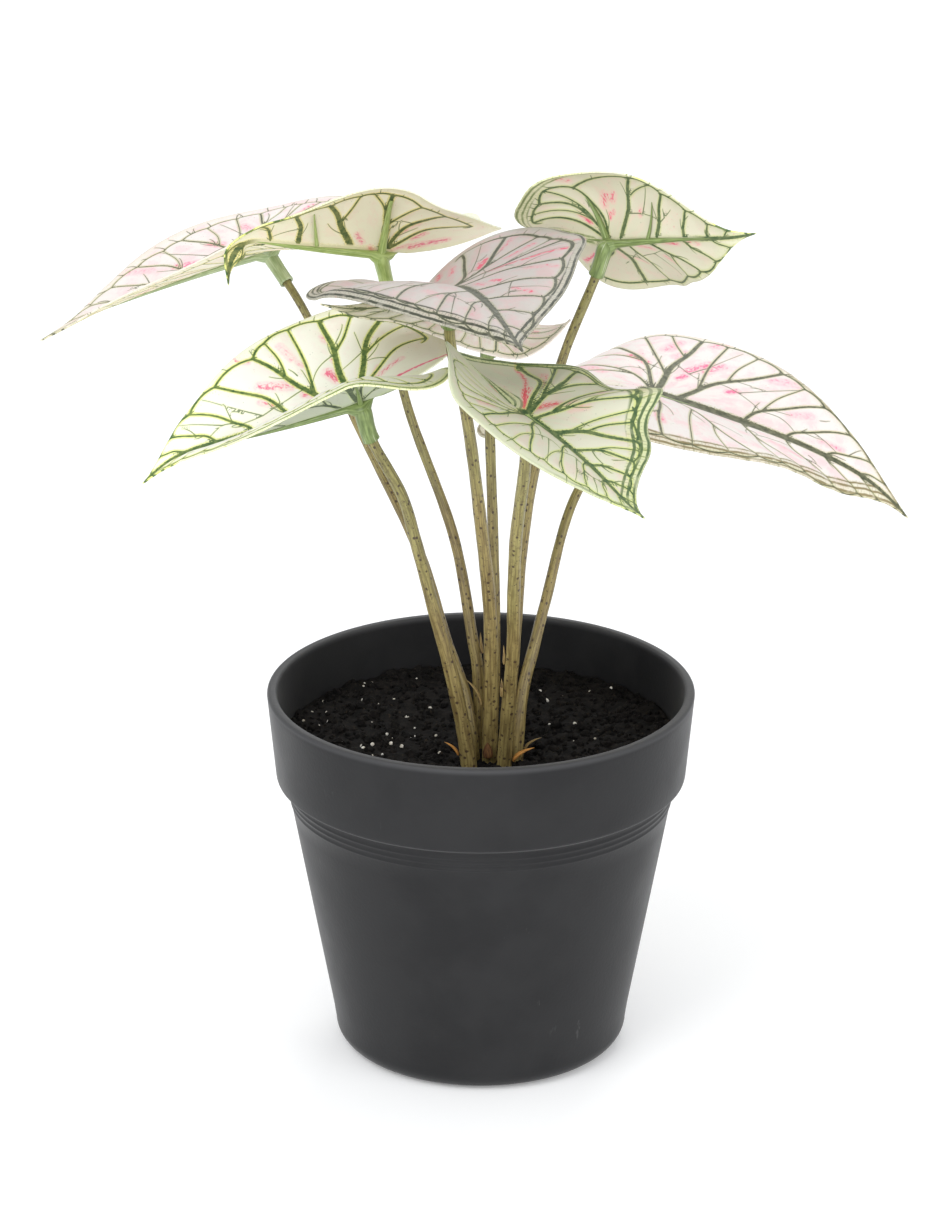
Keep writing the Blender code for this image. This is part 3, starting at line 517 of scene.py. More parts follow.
def midrib_frames(leaf):
    """Along the midrib: its points from the hub, and the frame (along, left, up) at each."""
    slope = leaf["pitch"] - leaf["droop"] * np.maximum(MIDRIB, 0)
    slope = slope - leaf["tip_droop"] * ease((MIDRIB - TIP_DROOP_START) / TIP_DROOP_LENGTH)
    slope = np.radians(slope + leaf["back"] * np.maximum(-MIDRIB, 0) / BACK_REACH)
    turn = np.radians(leaf["heading"] + leaf["bend"] * MIDRIB)
    roll = np.radians(leaf["roll"] + leaf["twist"] * MIDRIB)[:, None]
    along = np.stack([np.cos(slope) * np.cos(turn), np.cos(slope) * np.sin(turn), np.sin(slope)], 1)
    level = np.stack([-np.sin(turn), np.cos(turn), 0 * turn], 1)
    above = np.cross(along, level)
    left = level * np.cos(roll) + above * np.sin(roll)
    up = above * np.cos(roll) - level * np.sin(roll)
    step = MIDRIB[1] - MIDRIB[0]
    points = np.vstack([np.zeros(3), np.cumsum((along[1:] + along[:-1]) * step / 2, axis=0)])
    return points - at_midrib(points, 0), along, left, up


def at_midrib(rows, u):
    return read_rows(u, MIDRIB, rows)


def half_angles(leaf, kind, side, u):
    """The fold or the curl of one half, in radians, blended from its three values."""
    back, hub, tip = leaf[kind][side < 0]
    towards_tip = (tip - hub) * ease(u / TIP_REACH)
    towards_back = (back - hub) * ease(-u / BACK_REACH)
    return np.radians(hub + towards_tip + towards_back)


def leaf_points(leaf, u, v, crease=0.0):
    """The blade's middle surface at flat places (u along the midrib, v across it). Crease is how
    softly its halves meet."""
    points, _, left, up = midrib_frames(leaf)
    flat_u = u
    u = np.where(u < 0, u * leaf["lobes"], u)
    side = np.where(v < 0, -1.0, 1.0)
    across = np.abs(v) * leaf["width"]
    fold = np.where(v < 0, half_angles(leaf, "fold", -1, u), half_angles(leaf, "fold", 1, u))
    curl = np.where(v < 0, half_angles(leaf, "curl", -1, u), half_angles(leaf, "curl", 1, u))
    bend = curl * across / 0.5
    chord = across * np.sinc(bend / 2 / np.pi)
    reach = side * chord * np.cos(fold + bend / 2)
    rise = (np.hypot(chord, crease) - crease) * np.sin(fold + bend / 2)
    for angle, spread, height in leaf.get("pleats", []):
        around = np.degrees(np.arctan2(v, flat_u))
        away = (np.hypot(flat_u, v) / 0.5) ** 1.5
        swell = height * np.exp(-((around - angle) / spread) ** 2) * away
        reach = reach - side * swell * np.sin(fold + bend)
        rise = rise + swell * np.cos(fold + bend)
    out = reach[:, None] * at_midrib(left, u) + rise[:, None] * at_midrib(up, u)
    place = np.array(leaf["hub"]) + leaf["size"] * (at_midrib(points, u) + out)
    for pull_u, pull_v, spread, move in leaf.get("pulls", []):
        share = np.exp(-((flat_u - pull_u) ** 2 + (v - pull_v) ** 2) / spread ** 2)
        place = place + share[:, None] * np.array(move) / 1000
    return place


def sheet_points(leaf, u, v):
    """The printed sheet's middle surface at flat places, and its normals, towards the print."""
    nudge = 0.002
    points = leaf_points(leaf, u, v, CREASE)
    along = leaf_points(leaf, u + nudge, v, CREASE) - leaf_points(leaf, u - nudge, v, CREASE)
    outwards = np.where(v < 0, -nudge, nudge)
    across = (leaf_points(leaf, u, v + outwards, CREASE) - points) * np.sign(outwards)[:, None]
    return points, unit(np.cross(along, across))


def under_midrib(leaf, u, clearance):
    """Points below the midrib that keep a clearance to both halves."""
    _, _, left, up = midrib_frames(leaf)
    on_left = half_angles(leaf, "fold", 1, u)
    on_right = half_angles(leaf, "fold", -1, u)
    tilt = (np.sin(on_right) - np.sin(on_left))[:, None] * at_midrib(left, u)
    out = unit(tilt + (np.cos(on_left) + np.cos(on_right))[:, None] * at_midrib(up, u))
    roof = np.cos(np.minimum((on_left + on_right) / 2, 0))
    return leaf_points(leaf, u, 0 * u) - out * (clearance / roof)[:, None]


def linked(name, data):
    """A new object in the scene, at the origin."""
    made = bpy.data.objects.new(name, data)
    bpy.context.scene.collection.objects.link(made)
    return made


def new_mesh(name, points, faces, finishes, attributes=(), smooth=True):
    """A mesh object at the origin. Attributes are (name, values): floats, or triples of floats."""
    mesh = bpy.data.meshes.new(name)
    mesh.from_pydata(np.asarray(points, float).tolist(), [], faces)
    for label, values in attributes:
        values = np.asarray(values, np.float32)
        kind, key = ("FLOAT_VECTOR", "vector") if values.ndim > 1 else ("FLOAT", "value")
        mesh.attributes.new(label, kind, "POINT").data.foreach_set(key, values.ravel())
    if smooth:
        mesh.shade_smooth()
    for finish in finishes:
        mesh.materials.append(finish)
    return linked(name, mesh)


def apply_modifiers(made):
    """Turns what the modifiers make of an object into its own plain mesh."""
    graph = bpy.context.evaluated_depsgraph_get()
    mesh = bpy.data.meshes.new_from_object(made.evaluated_get(graph))
    made.modifiers.clear()
    made.data = mesh
    return made


def finish_piece(made, slot, *nodes):
    """What every piece needs: its body and the solids that it stands for. Slot is not used."""
    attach(made, "root")
    if nodes:
        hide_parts(*nodes)
    return made


def tube(path, distances, radii, sides, shape=None, flatten=1.0):
    """Points, faces and places of a closed round body along a path. Radii has one value a ring;
    shape(angles, ring) multiplies it round the ring, and flatten squeezes it across its side
    vector. A place is (cos, sin, distance): where a point is round the body and along it."""
    distances = np.asarray(distances, float)
    centres, tangents, out = path.at(distances)
    angles = 2 * np.pi * np.arange(sides) / sides
    rings = len(distances)
    spread = np.repeat(np.asarray(radii, float)[:, None], sides, axis=1)
    if shape:
        spread = spread * np.array([shape(angles, ring) for ring in range(rings)])
    across = (spread * np.cos(angles))[..., None] * out[:, None] * flatten
    upward = (spread * np.sin(angles))[..., None] * np.cross(tangents, out)[:, None]
    points = (centres[:, None] + across + upward).reshape(-1, 3)
    places = np.broadcast_arrays(np.cos(angles), np.sin(angles), distances[:, None])
    places = np.stack(places, -1).reshape(-1, 3)
    poles = [(0, 0, distances[0]), (0, 0, distances[-1])]
    count = rings * sides
    last = count - sides
    faces = ring_faces(rings, sides)
    for step in range(sides):
        after = (step + 1) % sides
        faces.append((count, after, step))
        faces.append((count + 1, last + step, last + after))
    return np.vstack([points, centres[[0, -1]]]), faces, np.vstack([places, poles])


def ring_faces(rings, sides):
    """Quads that join rings of points one after another."""
    faces = []
    for low in range(0, (rings - 1) * sides, sides):
        for step in range(sides):
            after = (step + 1) % sides
            faces.append((low + step, low + after, low + sides + after, low + sides + step))
    return faces


def round_part(name, path, distances, radii, sides, finish, shape=None, flatten=1.0, shift=0.0):
    """A round body along a path, as an object that carries its own places in millimetres. Shift
    sets its pattern apart from those of others."""
    points, faces, places = tube(path, distances, radii, sides, shape, flatten)
    places = places * (1, 1, 1000) + (0, 0, shift)
    return new_mesh(name, points, faces, [finish], [("round", places)])


def joined_parts(name, parts):
    """Several mesh objects as one."""
    shape = bmesh.new()
    for part in parts:
        shape.from_mesh(part.data)
    mesh = bpy.data.meshes.new(name)
    shape.to_mesh(mesh)
    shape.free()
    mesh.materials.append(parts[0].data.materials[0])
    mesh.shade_smooth()
    for part in parts:
        bpy.data.objects.remove(part, do_unlink=True)
    return linked(name, mesh)


def feed(tree, socket, value):
    """Links a node's output to a socket, or sets the socket to a number or a colour."""
    if isinstance(value, bpy.types.NodeSocket):
        tree.links.new(value, socket)
    elif socket.type == "RGBA":
        socket.default_value = (*value, 1.0)
    else:
        socket.default_value = value


def add_node(tree, kind, settings, *values, **inputs):
    """A node with its properties set. Values feed its first inputs, and inputs those that they
    name, or number, as in _6."""
    made = tree.nodes.new(kind)
    for key, value in dict(settings).items():
        setattr(made, key, value)
    for socket, value in zip(made.inputs, values):
        feed(tree, socket, value)
    for key, value in inputs.items():
        feed(tree, made.inputs[int(key[1:]) if key[0] == "_" else key.replace("_", " ")], value)
    return made


class Graph:
    """A procedural material, built node by node."""

    def __init__(self, name, roughness, specular):
        self.material = bpy.data.materials.new(name)
        self.material.use_nodes = True
        self.tree = self.material.node_tree
        self.shader = self.tree.nodes["Principled BSDF"]
        self.set("Roughness", roughness)
        self.set("Specular IOR Level", specular)

    def set(self, socket, value):
        feed(self.tree, self.shader.inputs[socket], value)

    def node(self, kind, settings, *values, **inputs):
        return add_node(self.tree, kind, settings, *values, **inputs).outputs

    def math(self, operation, *values):
        return self.node("ShaderNodeMath", dict(operation=operation), *values)[0]

    def add(self, a, b):
        return self.math("ADD", a, b)

    def minus(self, a, b):
        return self.math("SUBTRACT", a, b)

    def times(self, a, b):
        return self.math("MULTIPLY", a, b)

    def times_plus(self, a, b, c):
        return self.math("MULTIPLY_ADD", a, b, c)

    def most(self, a, b):
        return self.math("MAXIMUM", a, b)

    def size(self, a):
        return self.math("ABSOLUTE", a)

    def step(self, value, low, high, start=0.0, end=1.0):
        """Goes smoothly from start to end as value goes from low to high."""
        settings = dict(interpolation_type="SMOOTHSTEP")
        return self.node("ShaderNodeMapRange", settings, value, low, high, start, end)[0]

    def mix(self, share, a, b):
        return self.node("ShaderNodeMix", dict(data_type="RGBA"), share, _6=a, _7=b)[2]

    def number(self, name):
        return self.node("ShaderNodeAttribute", dict(attribute_name=name))["Fac"]

    def vector(self, name):
        return self.node("ShaderNodeAttribute", dict(attribute_name=name))["Vector"]

    def split(self, vector):
        return self.node("ShaderNodeSeparateXYZ", {}, vector)

    def scaled(self, vector, scale):
        return self.node("ShaderNodeMapping", {}, vector, Scale=scale)[0]

    def place(self):
        return self.node("ShaderNodeTexCoord", {})["Object"]

    def noise(self, vector, scale, detail=2.0, roughness=0.5):
        return self.node(
            "ShaderNodeTexNoise", {}, vector, Scale=scale, Detail=detail, Roughness=roughness)[0]

    def patches(self, vector, scale, detail, low, high, start=0.0, end=1.0, roughness=0.5):
        """Noise that goes from start to end where it passes from low to high."""
        return self.step(self.noise(vector, scale, detail, roughness), low, high, start, end)

    def cells(self, vector, scale):
        return self.node("ShaderNodeTexVoronoi", {}, vector, Scale=scale)["Distance"]

    def colour(self, value):
        self.set("Base Color", value)

    def rough(self, value):
        self.set("Roughness", value)

    def bump(self, height, distance, strength):
        bumped = self.node("ShaderNodeBump", {}, Height=height, Distance=distance, Strength=strength)
        self.set("Normal", bumped[0])


def flat_scale(leaf, u):
    """Millimetres for one unit of u, which is shorter on the back lobes, and one of v."""
    along = leaf["size"] * 1000 * np.where(np.asarray(u) < 0, leaf["lobes"], 1.0)
    return along, leaf["size"] * leaf["width"] * 1000


def flat_mm(leaf, places):
    """Flat places in millimetres from the hub."""
    along, across = flat_scale(leaf, places[..., 0])
    return np.stack([places[..., 0] * along, places[..., 1] * across], -1)


def inside_half(places, margin):
    """Whether each place (u, |v|) lies inside the closed half outline."""
    found = np.zeros(len(places), bool)
    for (u0, v0), (u1, v1) in zip(margin, np.roll(margin, -1, axis=0)):
        if v0 != v1:
            crosses = (v0 > places[:, 1]) != (v1 > places[:, 1])
            found ^= crosses & (places[:, 0] < (u1 - u0) * (places[:, 1] - v0) / (v1 - v0) + u0)
    return found


def nearest(points, starts, ends):
    """For each point the nearest of these segments: its index, the share along it and the signed
    distance to it, positive on its left."""
    best = np.full(len(points), 1e9)
    which = np.zeros(len(points), int)
    shares = np.zeros(len(points))
    signs = np.ones(len(points))
    for index, (start, end) in enumerate(zip(starts, ends)):
        line = end - start
        away = points - start
        share = np.clip(away @ line / max(line @ line, 1e-12), 0, 1)
        gap = away - share[:, None] * line
        distance = np.hypot(gap[:, 0], gap[:, 1])
        closer = distance < best
        best[closer] = distance[closer]
        which[closer] = index
        shares[closer] = share[closer]
        turn = line[0] * away[:, 1] - line[1] * away[:, 0]
        signs[closer] = np.where(turn[closer] < 0, -1.0, 1.0)
    return which, shares, best * signs


def taper_across(u):
    """How much closer the lattice's columns stand near the narrow tip."""
    return 1 - 0.86 * ease((u - 0.62) / 0.36)


def blade_lattice(leaf):
    """Flat places and quads of a near-square lattice inside the outline, its rim on the margin."""
    half = smooth_curve(OUTLINE, 8)
    along, across = flat_scale(leaf, 1.0)
    step = BLADE_STEP * 1000
    behind = math.ceil(LATTICE_BACK * along * leaf["lobes"] / step)
    ahead = math.ceil(along / step)
    back_rows = np.linspace(-LATTICE_BACK, 0, behind + 1)[:-1]
    rows = np.concatenate([back_rows, np.linspace(0, 1.0, ahead + 1)])
    reach = math.ceil(LATTICE_REACH * across / step)
    columns = np.arange(-reach, reach + 1) * step / across
    u = np.repeat(rows[:, None], len(columns), axis=1)
    places = np.stack([u, columns[None, :] * taper_across(u)], -1)
    middles = (places[:-1, :-1] + places[1:, :-1] + places[:-1, 1:] + places[1:, 1:]) / 4
    flat = middles.reshape(-1, 2)
    kept = inside_half(np.stack([flat[:, 0], np.abs(flat[:, 1])], 1), half).reshape(middles.shape[:2])
    around = np.zeros(places.shape[:2], int)
    for i, j in ((0, 0), (0, 1), (1, 0), (1, 1)):
        around[i:i + kept.shape[0], j:j + kept.shape[1]] += kept
    used = around > 0
    places = snapped_to_margin(leaf, places, used & (around < 4), half)
    number = np.full(used.shape, -1)
    number[used] = np.arange(used.sum())
    i, j = np.nonzero(kept)
    faces = np.stack([number[i, j], number[i + 1, j], number[i + 1, j + 1], number[i, j + 1]], 1)
    return places[used], faces.tolist(), half


def snapped_to_margin(leaf, places, rim, half):
    """The lattice with its rim moved onto the outline and its last point onto the tip."""
    sides = np.where(places[rim][:, 1] < 0, -1.0, 1.0)
    found = np.stack([places[rim][:, 0], np.abs(places[rim][:, 1])], 1)
    on_axis = found[:, 1] < 1e-9
    margin = flat_mm(leaf, half)
    which, share, _ = nearest(flat_mm(leaf, found), margin[:-1], margin[1:])
    moved = half[which] + share[:, None] * (half[which + 1] - half[which])
    moved[:, 1] = np.where(on_axis, 0.0, moved[:, 1] * sides)
    tip = np.argmax(found[:, 0] - 10 * found[:, 1])
    moved[tip] = (1.0, 0.0)
    places = places.copy()
    places[rim] = moved
    return places


def side_vein(first, end, straight, wave):
    """A side vein: steep at the midrib, bowing towards the tip, with a slight wave."""
    bend = first + (end - first) * ((0.30, 0.50) if straight else (0.16, 0.58))
    t = np.linspace(0, 1, 15)[:, None]
    line = (1 - t) ** 2 * first + 2 * t * (1 - t) * bend + t ** 2 * end
    wave = np.sin(np.pi * t) * np.sin(2 * np.pi * (t * 1.3 + wave))
    return line + VEIN_WAVE * across_line(first, end) * wave


def across_line(start, end):
    """A line's own length and direction, turned a quarter to the left."""
    return np.array([start[1] - end[1], end[0] - start[0]])


def looping_vein(ends):
    """The vein that joins the ends of the others, from the notch to the tip, bulging between."""
    ends = sorted(ends, key=lambda end: -math.atan2(end[1], end[0]))
    ends = [ends[0] + LOOP_START, *ends, np.array(LOOP_END)]
    line = []
    for near, far in zip(ends[:-1], ends[1:]):
        for t in np.linspace(0, 1, LOOP_STEPS, endpoint=False):
            bulge = LOOP_BULGE * across_line(near, far) * 4 * t * (1 - t)
            line.append(near + t * (far - near) + bulge)
    line.append(ends[-1])
    return np.array(line)


def veinlet(start, ahead, turn, reach, bend, steps=8):
    """A thin line that leaves at an angle and swings slowly back."""
    points = [start]
    for _ in range(steps):
        heading = np.array([
            ahead[0] * math.cos(turn) - ahead[1] * math.sin(turn),
            ahead[0] * math.sin(turn) + ahead[1] * math.cos(turn)])
        points.append(points[-1] + heading * reach / steps)
        turn += bend / steps
    return np.array(points)


def part_way(line, share):
    """The point that share of the way along a line, and the direction there."""
    index = int(share * (len(line) - 1))
    ahead = line[index + 1] - line[index]
    return line[index], ahead / max(np.linalg.norm(ahead), 1e-9)


def fine_veins(sides, loop, draw):
    """Thin lines: some link two side veins and may fork, some leave one and fade, a few lie
    alone, and many leave the looping vein for the margin."""
    found = []
    for near, far in zip(sides[:-2], sides[1:-1]):
        if draw.random() < LINKED:
            start, _ = part_way(near, draw.uniform(0.35, 0.60))
            end, _ = part_way(far, draw.uniform(0.30, 0.55))
            middle = (start + end) / 2 + draw.uniform(-0.02, 0.02, 2)
            found.append(smooth_curve([start, middle, end], 6))
            if draw.random() < FORKED:
                goal = (near[-1] + far[-1]) / 2
                found.append(smooth_curve([middle, middle * 0.6 + goal * 0.4, goal], 6))
    for line in sides[1:-1]:
        for side in (-1, 1):
            start, ahead = part_way(line, draw.uniform(0.20, 0.75))
            turn = side * math.radians(draw.uniform(25, 50))
            bend = -side * draw.uniform(0.1, 0.9)
            room = np.clip(np.linalg.norm(line[-1] - line[0]) / LONG_VEIN, 0.3, 1.0)
            found.append(veinlet(start, ahead, turn, room * draw.uniform(*VEINLET_REACH), bend))
    for line in sides[1:-2:2]:
        start, ahead = part_way(line, draw.uniform(0.35, 0.80))
        aside = np.array([-ahead[1], ahead[0]]) * draw.choice([-1, 1])
        start = start + aside * draw.uniform(0.03, 0.05)
        turn = draw.uniform(-0.5, 0.5)
        reach = draw.uniform(*LONE_REACH)
        found.append(veinlet(start, ahead, turn, reach, draw.uniform(-0.7, 0.7)))
    for index in range(LOOP_STEPS, len(loop) - LOOP_STEPS - TICK_STEP + 1, TICK_STEP):
        start = loop[index + draw.integers(0, TICK_STEP)]
        turn = draw.uniform(-0.4, 0.4)
        reach = draw.uniform(*TICK_REACH)
        found.append(veinlet(start, unit(start), turn, reach, draw.uniform(-0.6, 0.6)))
    return found


def vein_lines(name, leaf, side):
    """The main and the fine veins of one half, each a list of (line, half-widths along it)."""
    look = PRINTS[name]
    bold = look["bold"][side < 0]
    scale = (leaf["size"] / VEIN_SIZE) ** 0.8
    draw = np.random.default_rng(look["seed"] * 2 + (side < 0))
    veins, branches = OWN_VEINS.get((name, side), (SIDE_VEINS, BRANCHES))
    shorter = 1 if (name, side) in OWN_VEINS else 1 - look["inset"]
    mains = []
    for number, (start, u, v, width) in enumerate(veins):
        first = np.array([start, 0]) / 100
        end = first + (np.array([u, v]) / 100 - first) * shorter
        line = side_vein(first, end, number < STRAIGHT_VEINS, draw.uniform(0, 1))
        mains.append((line, np.linspace(width, width * 0.58, len(line))))
    sides = [line for line, _ in mains]
    for parent, share, u, v, width in branches:
        start, _ = part_way(sides[parent], share)
        end = np.array([u, v]) / 100 * shorter
        bend = start + (end - start) * 0.45 + BRANCH_BEND
        line = smooth_curve([start, bend, end], 5)
        mains.append((line, np.linspace(width, width * 0.75, len(line))))
    loop = looping_vein([line[-1] for line, _ in mains])
    mains.append((loop, np.interp(np.linspace(0, 1, len(loop)), LOOP_SHARES, LOOP_WIDTHS)))
    mains = [(line, widths * bold) for line, widths in mains]
    midrib = np.stack([np.linspace(*MIDRIB_ENDS, 40), np.zeros(40)], 1)
    mains.append((midrib, np.linspace(*MIDRIB_WIDTH, 40) * max(look["bold"])))
    thin = [(line, np.linspace(*FINE_WIDTH, len(line))) for line in fine_veins(sides, loop, draw)]
    return [(line, widths * scale) for line, widths in mains], thin


def vein_distances(leaf, places, lines, side):
    """For each place the signed distance to the line whose side is nearest, and that line's
    half-width there, in mm."""
    found = np.full(len(places), 1e6)
    half_width = np.zeros(len(places))
    for line, widths in lines:
        flat = flat_mm(leaf, line * (1, side))
        which, share, distance = nearest(places, flat[:-1], flat[1:])
        width = widths[which] + share * (widths[which + 1] - widths[which])
        closer = np.abs(distance) - width < np.abs(found) - half_width
        found = np.where(closer, distance, found)
        half_width = np.where(closer, width, half_width)
    return found, half_width


def print_fields(name, leaf, places, half):
    """The fields that the leaf's print is drawn from, one value or triple a place."""
    flat = flat_mm(leaf, places)
    look = PRINTS[name]
    on_left = places[:, 1] >= 0
    main = np.zeros((len(places), 3))
    fine = np.zeros((len(places), 3))
    for side, here in ((1, on_left), (-1, ~on_left)):
        for field, lines in zip((main, fine), vein_lines(name, leaf, side)):
            distance, width = vein_distances(leaf, flat[here], lines, side)
            field[here] = np.stack([distance, width, np.abs(distance)], 1)
    margin = flat_mm(leaf, half)
    folded = np.stack([flat[:, 0], np.abs(flat[:, 1])], 1)
    which, share, edge = nearest(folded, margin[:-1], margin[1:])
    lengths = running_length(margin)
    along_edge = lengths[which] + share * np.diff(lengths)[which]
    stroke = np.zeros(len(places))
    for u0, v0, u1, v1, width, strength in look["streaks"]:
        ends = flat_mm(leaf, np.array([[u0, v0], [u1, v1]]) / 100)
        _, _, distance = nearest(flat, ends[:1], ends[1:])
        stroke = np.maximum(stroke, strength * np.exp(-(distance / width) ** 2))
    left, right = (np.interp(places[:, 0], FRINGE_PLACES, depths) for depths in look["fringe"])
    radius = np.hypot(flat[:, 0], flat[:, 1])
    around = np.arctan2(flat[:, 1], flat[:, 0])
    shift = look["seed"] * 37.0
    return [
        ("main_vein", main),
        ("fine_vein", fine),
        ("margin", np.stack([np.abs(edge), np.where(on_left, left, right), stroke], 1)),
        ("along_edge", along_edge),
        ("flat_mm", np.stack([flat[:, 0] + shift, flat[:, 1], 0 * radius], 1)),
        ("ray", np.stack([radius * 0.22 + shift, around * 9.0, 0 * radius], 1)),
    ]


def relief(look, main, edge, places):
    """How far the sheet sinks along its veins, puffs up between them and turns down at its
    margin, in metres."""
    distance, width, _ = main.T
    u = places[:, 0]
    groove = -GROOVE_DEPTH * np.exp(-(distance / (0.6 + width)) ** 2)
    puff = PUFF_HEIGHT * ease(np.abs(distance) / 4.5) * ease(np.hypot(u, places[:, 1]) / 0.3)
    away_from_ends = ease((u + 0.55) / 0.65) * ease((1 - u) / 0.25)
    drop = np.where(places[:, 1] >= 0, *look["rolled"]) * away_from_ends / 1000
    return groove + puff - drop * np.clip(1 - edge / ROLL_WIDTH, 0, 1) ** 1.7


def build_blade(name, leaf, finishes):
    """A dense sheet that carries the print's fields, given its thickness by Solidify."""
    look = PRINTS[name]
    places, faces, half = blade_lattice(leaf)
    fields = print_fields(name, leaf, places, half)
    u, v = places.T
    points, normals = sheet_points(leaf, u, v)
    sunk = relief(look, fields[0][1], fields[2][1][:, 0], places)
    points = points + normals * sunk[:, None]
    blade = new_mesh(f"printed_leaf_{name}", points, faces, finishes, fields)
    sheet = blade.modifiers.new("thickness", "SOLIDIFY")
    sheet.thickness = SHEET_THICKNESS
    sheet.offset = 0
    sheet.material_offset = 1
    sheet.material_offset_rim = 0
    apply_modifiers(blade)
    return finish_piece(blade, "leaf_print", f"leaf_blade_{name}")


def leaf_finish(name, finish, pink, ribbed):
    """The printed face of a leaf: ground, pink cloud and strokes, vein ink with its halo. A face
    with a rib under its midrib has no ink there."""
    # The pale, shaded and shade finishes carry painted shade in all their colours.
    look = dict(zip(FINISH_PARTS, FINISHES[finish]))
    g = Graph(name, 0.52, 0.4)
    flat = g.vector("flat_mm")
    main, fine, margin = (g.split(g.vector(field)) for field in ("main_vein", "fine_vein", "margin"))
    ragged = g.times_plus(g.noise(flat, 2.3, 3.0, 0.65), 1.4, -0.70)
    ink, halo = vein_ink(g, main, ragged)
    if ribbed:
        beside = g.size(g.split(flat)[1])
        bare = g.most(g.step(beside, 2.0, 3.0, 0.12, 1.0), g.step(main[1], 1.0, 0.7))
        ink = g.times(ink, bare)
        halo = g.times(halo, g.step(bare, 0.12, 1.0, 0.35, 1.0))
    thread = g.step(g.minus(g.size(fine[0]), g.times_plus(ragged, 0.12, fine[1])), 0.10, -0.02)
    thread = g.times(thread, g.step(fine[2], 0.75, 0.35))
    glow = g.times(g.step(fine[2], 0.60, 0.10), 0.45)
    ground = leaf_ground(g, look, flat, margin, pink)
    ground = g.mix(g.most(g.times(halo, 0.85), glow), ground, look["halo"])
    ground = g.mix(g.times(thread, 0.82), ground, look["ink"])
    ground = fringed(g, look, flat, margin, ground)
    shade = g.mix(g.patches(flat, 0.6, 2.0, 0.3, 0.7, 0.0, 0.20), look["ink"], look["halo"])
    cut = g.times(g.step(margin[0], 0.32, 0.14), g.patches(flat, 0.5, 2.0, 0.40, 0.70, 0.05, 0.40))
    cut = g.times(cut, g.step(margin[1], 0.35, 0.80))
    g.colour(g.mix(cut, g.mix(ink, ground, shade), look["trim"]))
    g.rough(g.patches(flat, 0.8, 3.0, 0.2, 0.8, 0.46, 0.60))
    weave = g.noise(flat, 3.2, 2.0, 0.7)
    g.bump(g.add(g.times(weave, 0.3), g.times(ink, -0.5)), 0.0001, 0.5)
    return g.material


def vein_ink(g, main, ragged):
    """The ink of the main veins, ragged at its edges, and the halo beside it."""
    width = g.times_plus(g.add(ragged, 1.0), main[1], 0.02)
    near = g.step(g.minus(main[2], main[1]), 0.75, 0.35)
    ink = g.times(g.step(g.minus(g.size(main[0]), width), 0.09, -0.05), near)
    halo = g.step(g.minus(main[2], width), g.times_plus(ragged, 0.6, 0.75), 0.10)
    return ink, halo


def leaf_ground(g, look, flat, margin, pink):
    """The pale ground: pink cloud and mist, the border's tone, hot strokes, speckles and flecks."""
    ray = g.vector("ray")
    grain = g.noise(ray, 3.1, 3.0, 0.68)
    body = margin[2]
    cloud = g.patches(ray, 0.55, 4.0, 0.53 - 0.16 * pink, 0.70 - 0.10 * pink, roughness=0.66)
    mist = g.times(g.step(body, 0.01, 0.50), g.step(grain, 0.25, 0.62, 0.35, 1.0))
    soft = g.most(g.times(cloud, 0.70 * pink), g.times(mist, 0.85))
    dust = g.times(g.patches(flat, 2.4, 2.0, 0.54, 0.66, roughness=0.7), g.step(margin[0], 5.5, 2.0))
    zone = g.patches(flat, 0.06, 1.0, 0.60 - 0.14 * pink, 0.66 - 0.10 * pink)
    dash = g.times(g.step(grain, 0.64, 0.72), zone)
    hot = g.step(g.times_plus(g.add(grain, -0.5), 2.6, body), 0.62, 1.12)
    speckle = g.times(
        g.patches(flat, 1.5, 3.0, 0.60, 0.70, roughness=0.7), g.patches(flat, 0.16, 1.0, 0.44, 0.58))
    fleck = g.times(g.step(g.cells(flat, 0.85), 0.12, 0.07), g.patches(flat, 0.35, 1.0, 0.52, 0.60))
    ground = look["ground"]
    for share, part in (
        (soft, "cloud"),
        (g.times(g.step(margin[0], 4.2, 0.6), 0.8), "border"),
        (g.times(dust, 0.45), "halo"),
        (g.patches(flat, 0.09, 2.0, 0.3, 0.7, 0.0, 0.16), "border"),
        (g.most(g.times(dash, 0.75), g.times(hot, 0.92)), "stroke"),
        (g.times(speckle, 0.45), "cloud"),
        (g.times(fleck, 0.7), "ink"),
    ):
        ground = g.mix(share, ground, look[part])
    return ground


def fringed(g, look, flat, margin, ground):
    """The ground with the lines that run along the margin, and the short rungs between them."""
    wavy = g.times_plus(g.noise(flat, 0.45, 2.0), 0.5, g.add(margin[0], 0.70))
    stripe = g.step(g.math("PINGPONG", wavy, 0.85), 0.46, 0.26)
    rung = g.step(g.math("PINGPONG", g.number("along_edge"), 0.55), 0.13, 0.05)
    rung = g.times(rung, g.patches(flat, 0.9, 1.0, 0.42, 0.52))
    inside = g.step(g.minus(margin[0], g.times(margin[1], 4.2)), 0.4, -0.4)
    inside = g.times(inside, g.patches(flat, 0.22, 2.0, 0.34, 0.50, 0.60, 1.0))
    inside = g.times(inside, g.step(margin[1], 0.12, 0.42))
    lined = g.times(g.most(stripe, g.times(rung, 0.6)), inside)
    ground = g.mix(g.times(inside, 0.40), ground, look["halo"])
    return g.mix(g.times(lined, 0.92), ground, look["trim"])


def collar_radius(leaf):
    return leaf["stem_radius"][1] + SOCKET_CLEARANCE + COLLAR_WALL


def stem_path(leaf):
    """From the buried foot up through the stem's points to the middle of the collar's dome."""
    foot = leaf["stem"][0]
    clearance = BLADE_THICKNESS / 2 + BLADE_GAP + collar_radius(leaf)
    under_hub = under_midrib(leaf, np.array([0.0]), clearance)[0]
    points = [(*foot, SOIL_MIDDLE_Z - STEM_DEPTH), (*foot, SOIL_MIDDLE_Z)]
    return Path(smooth_curve([*points, *leaf["stem"][1:], tuple(under_hub)], 12))


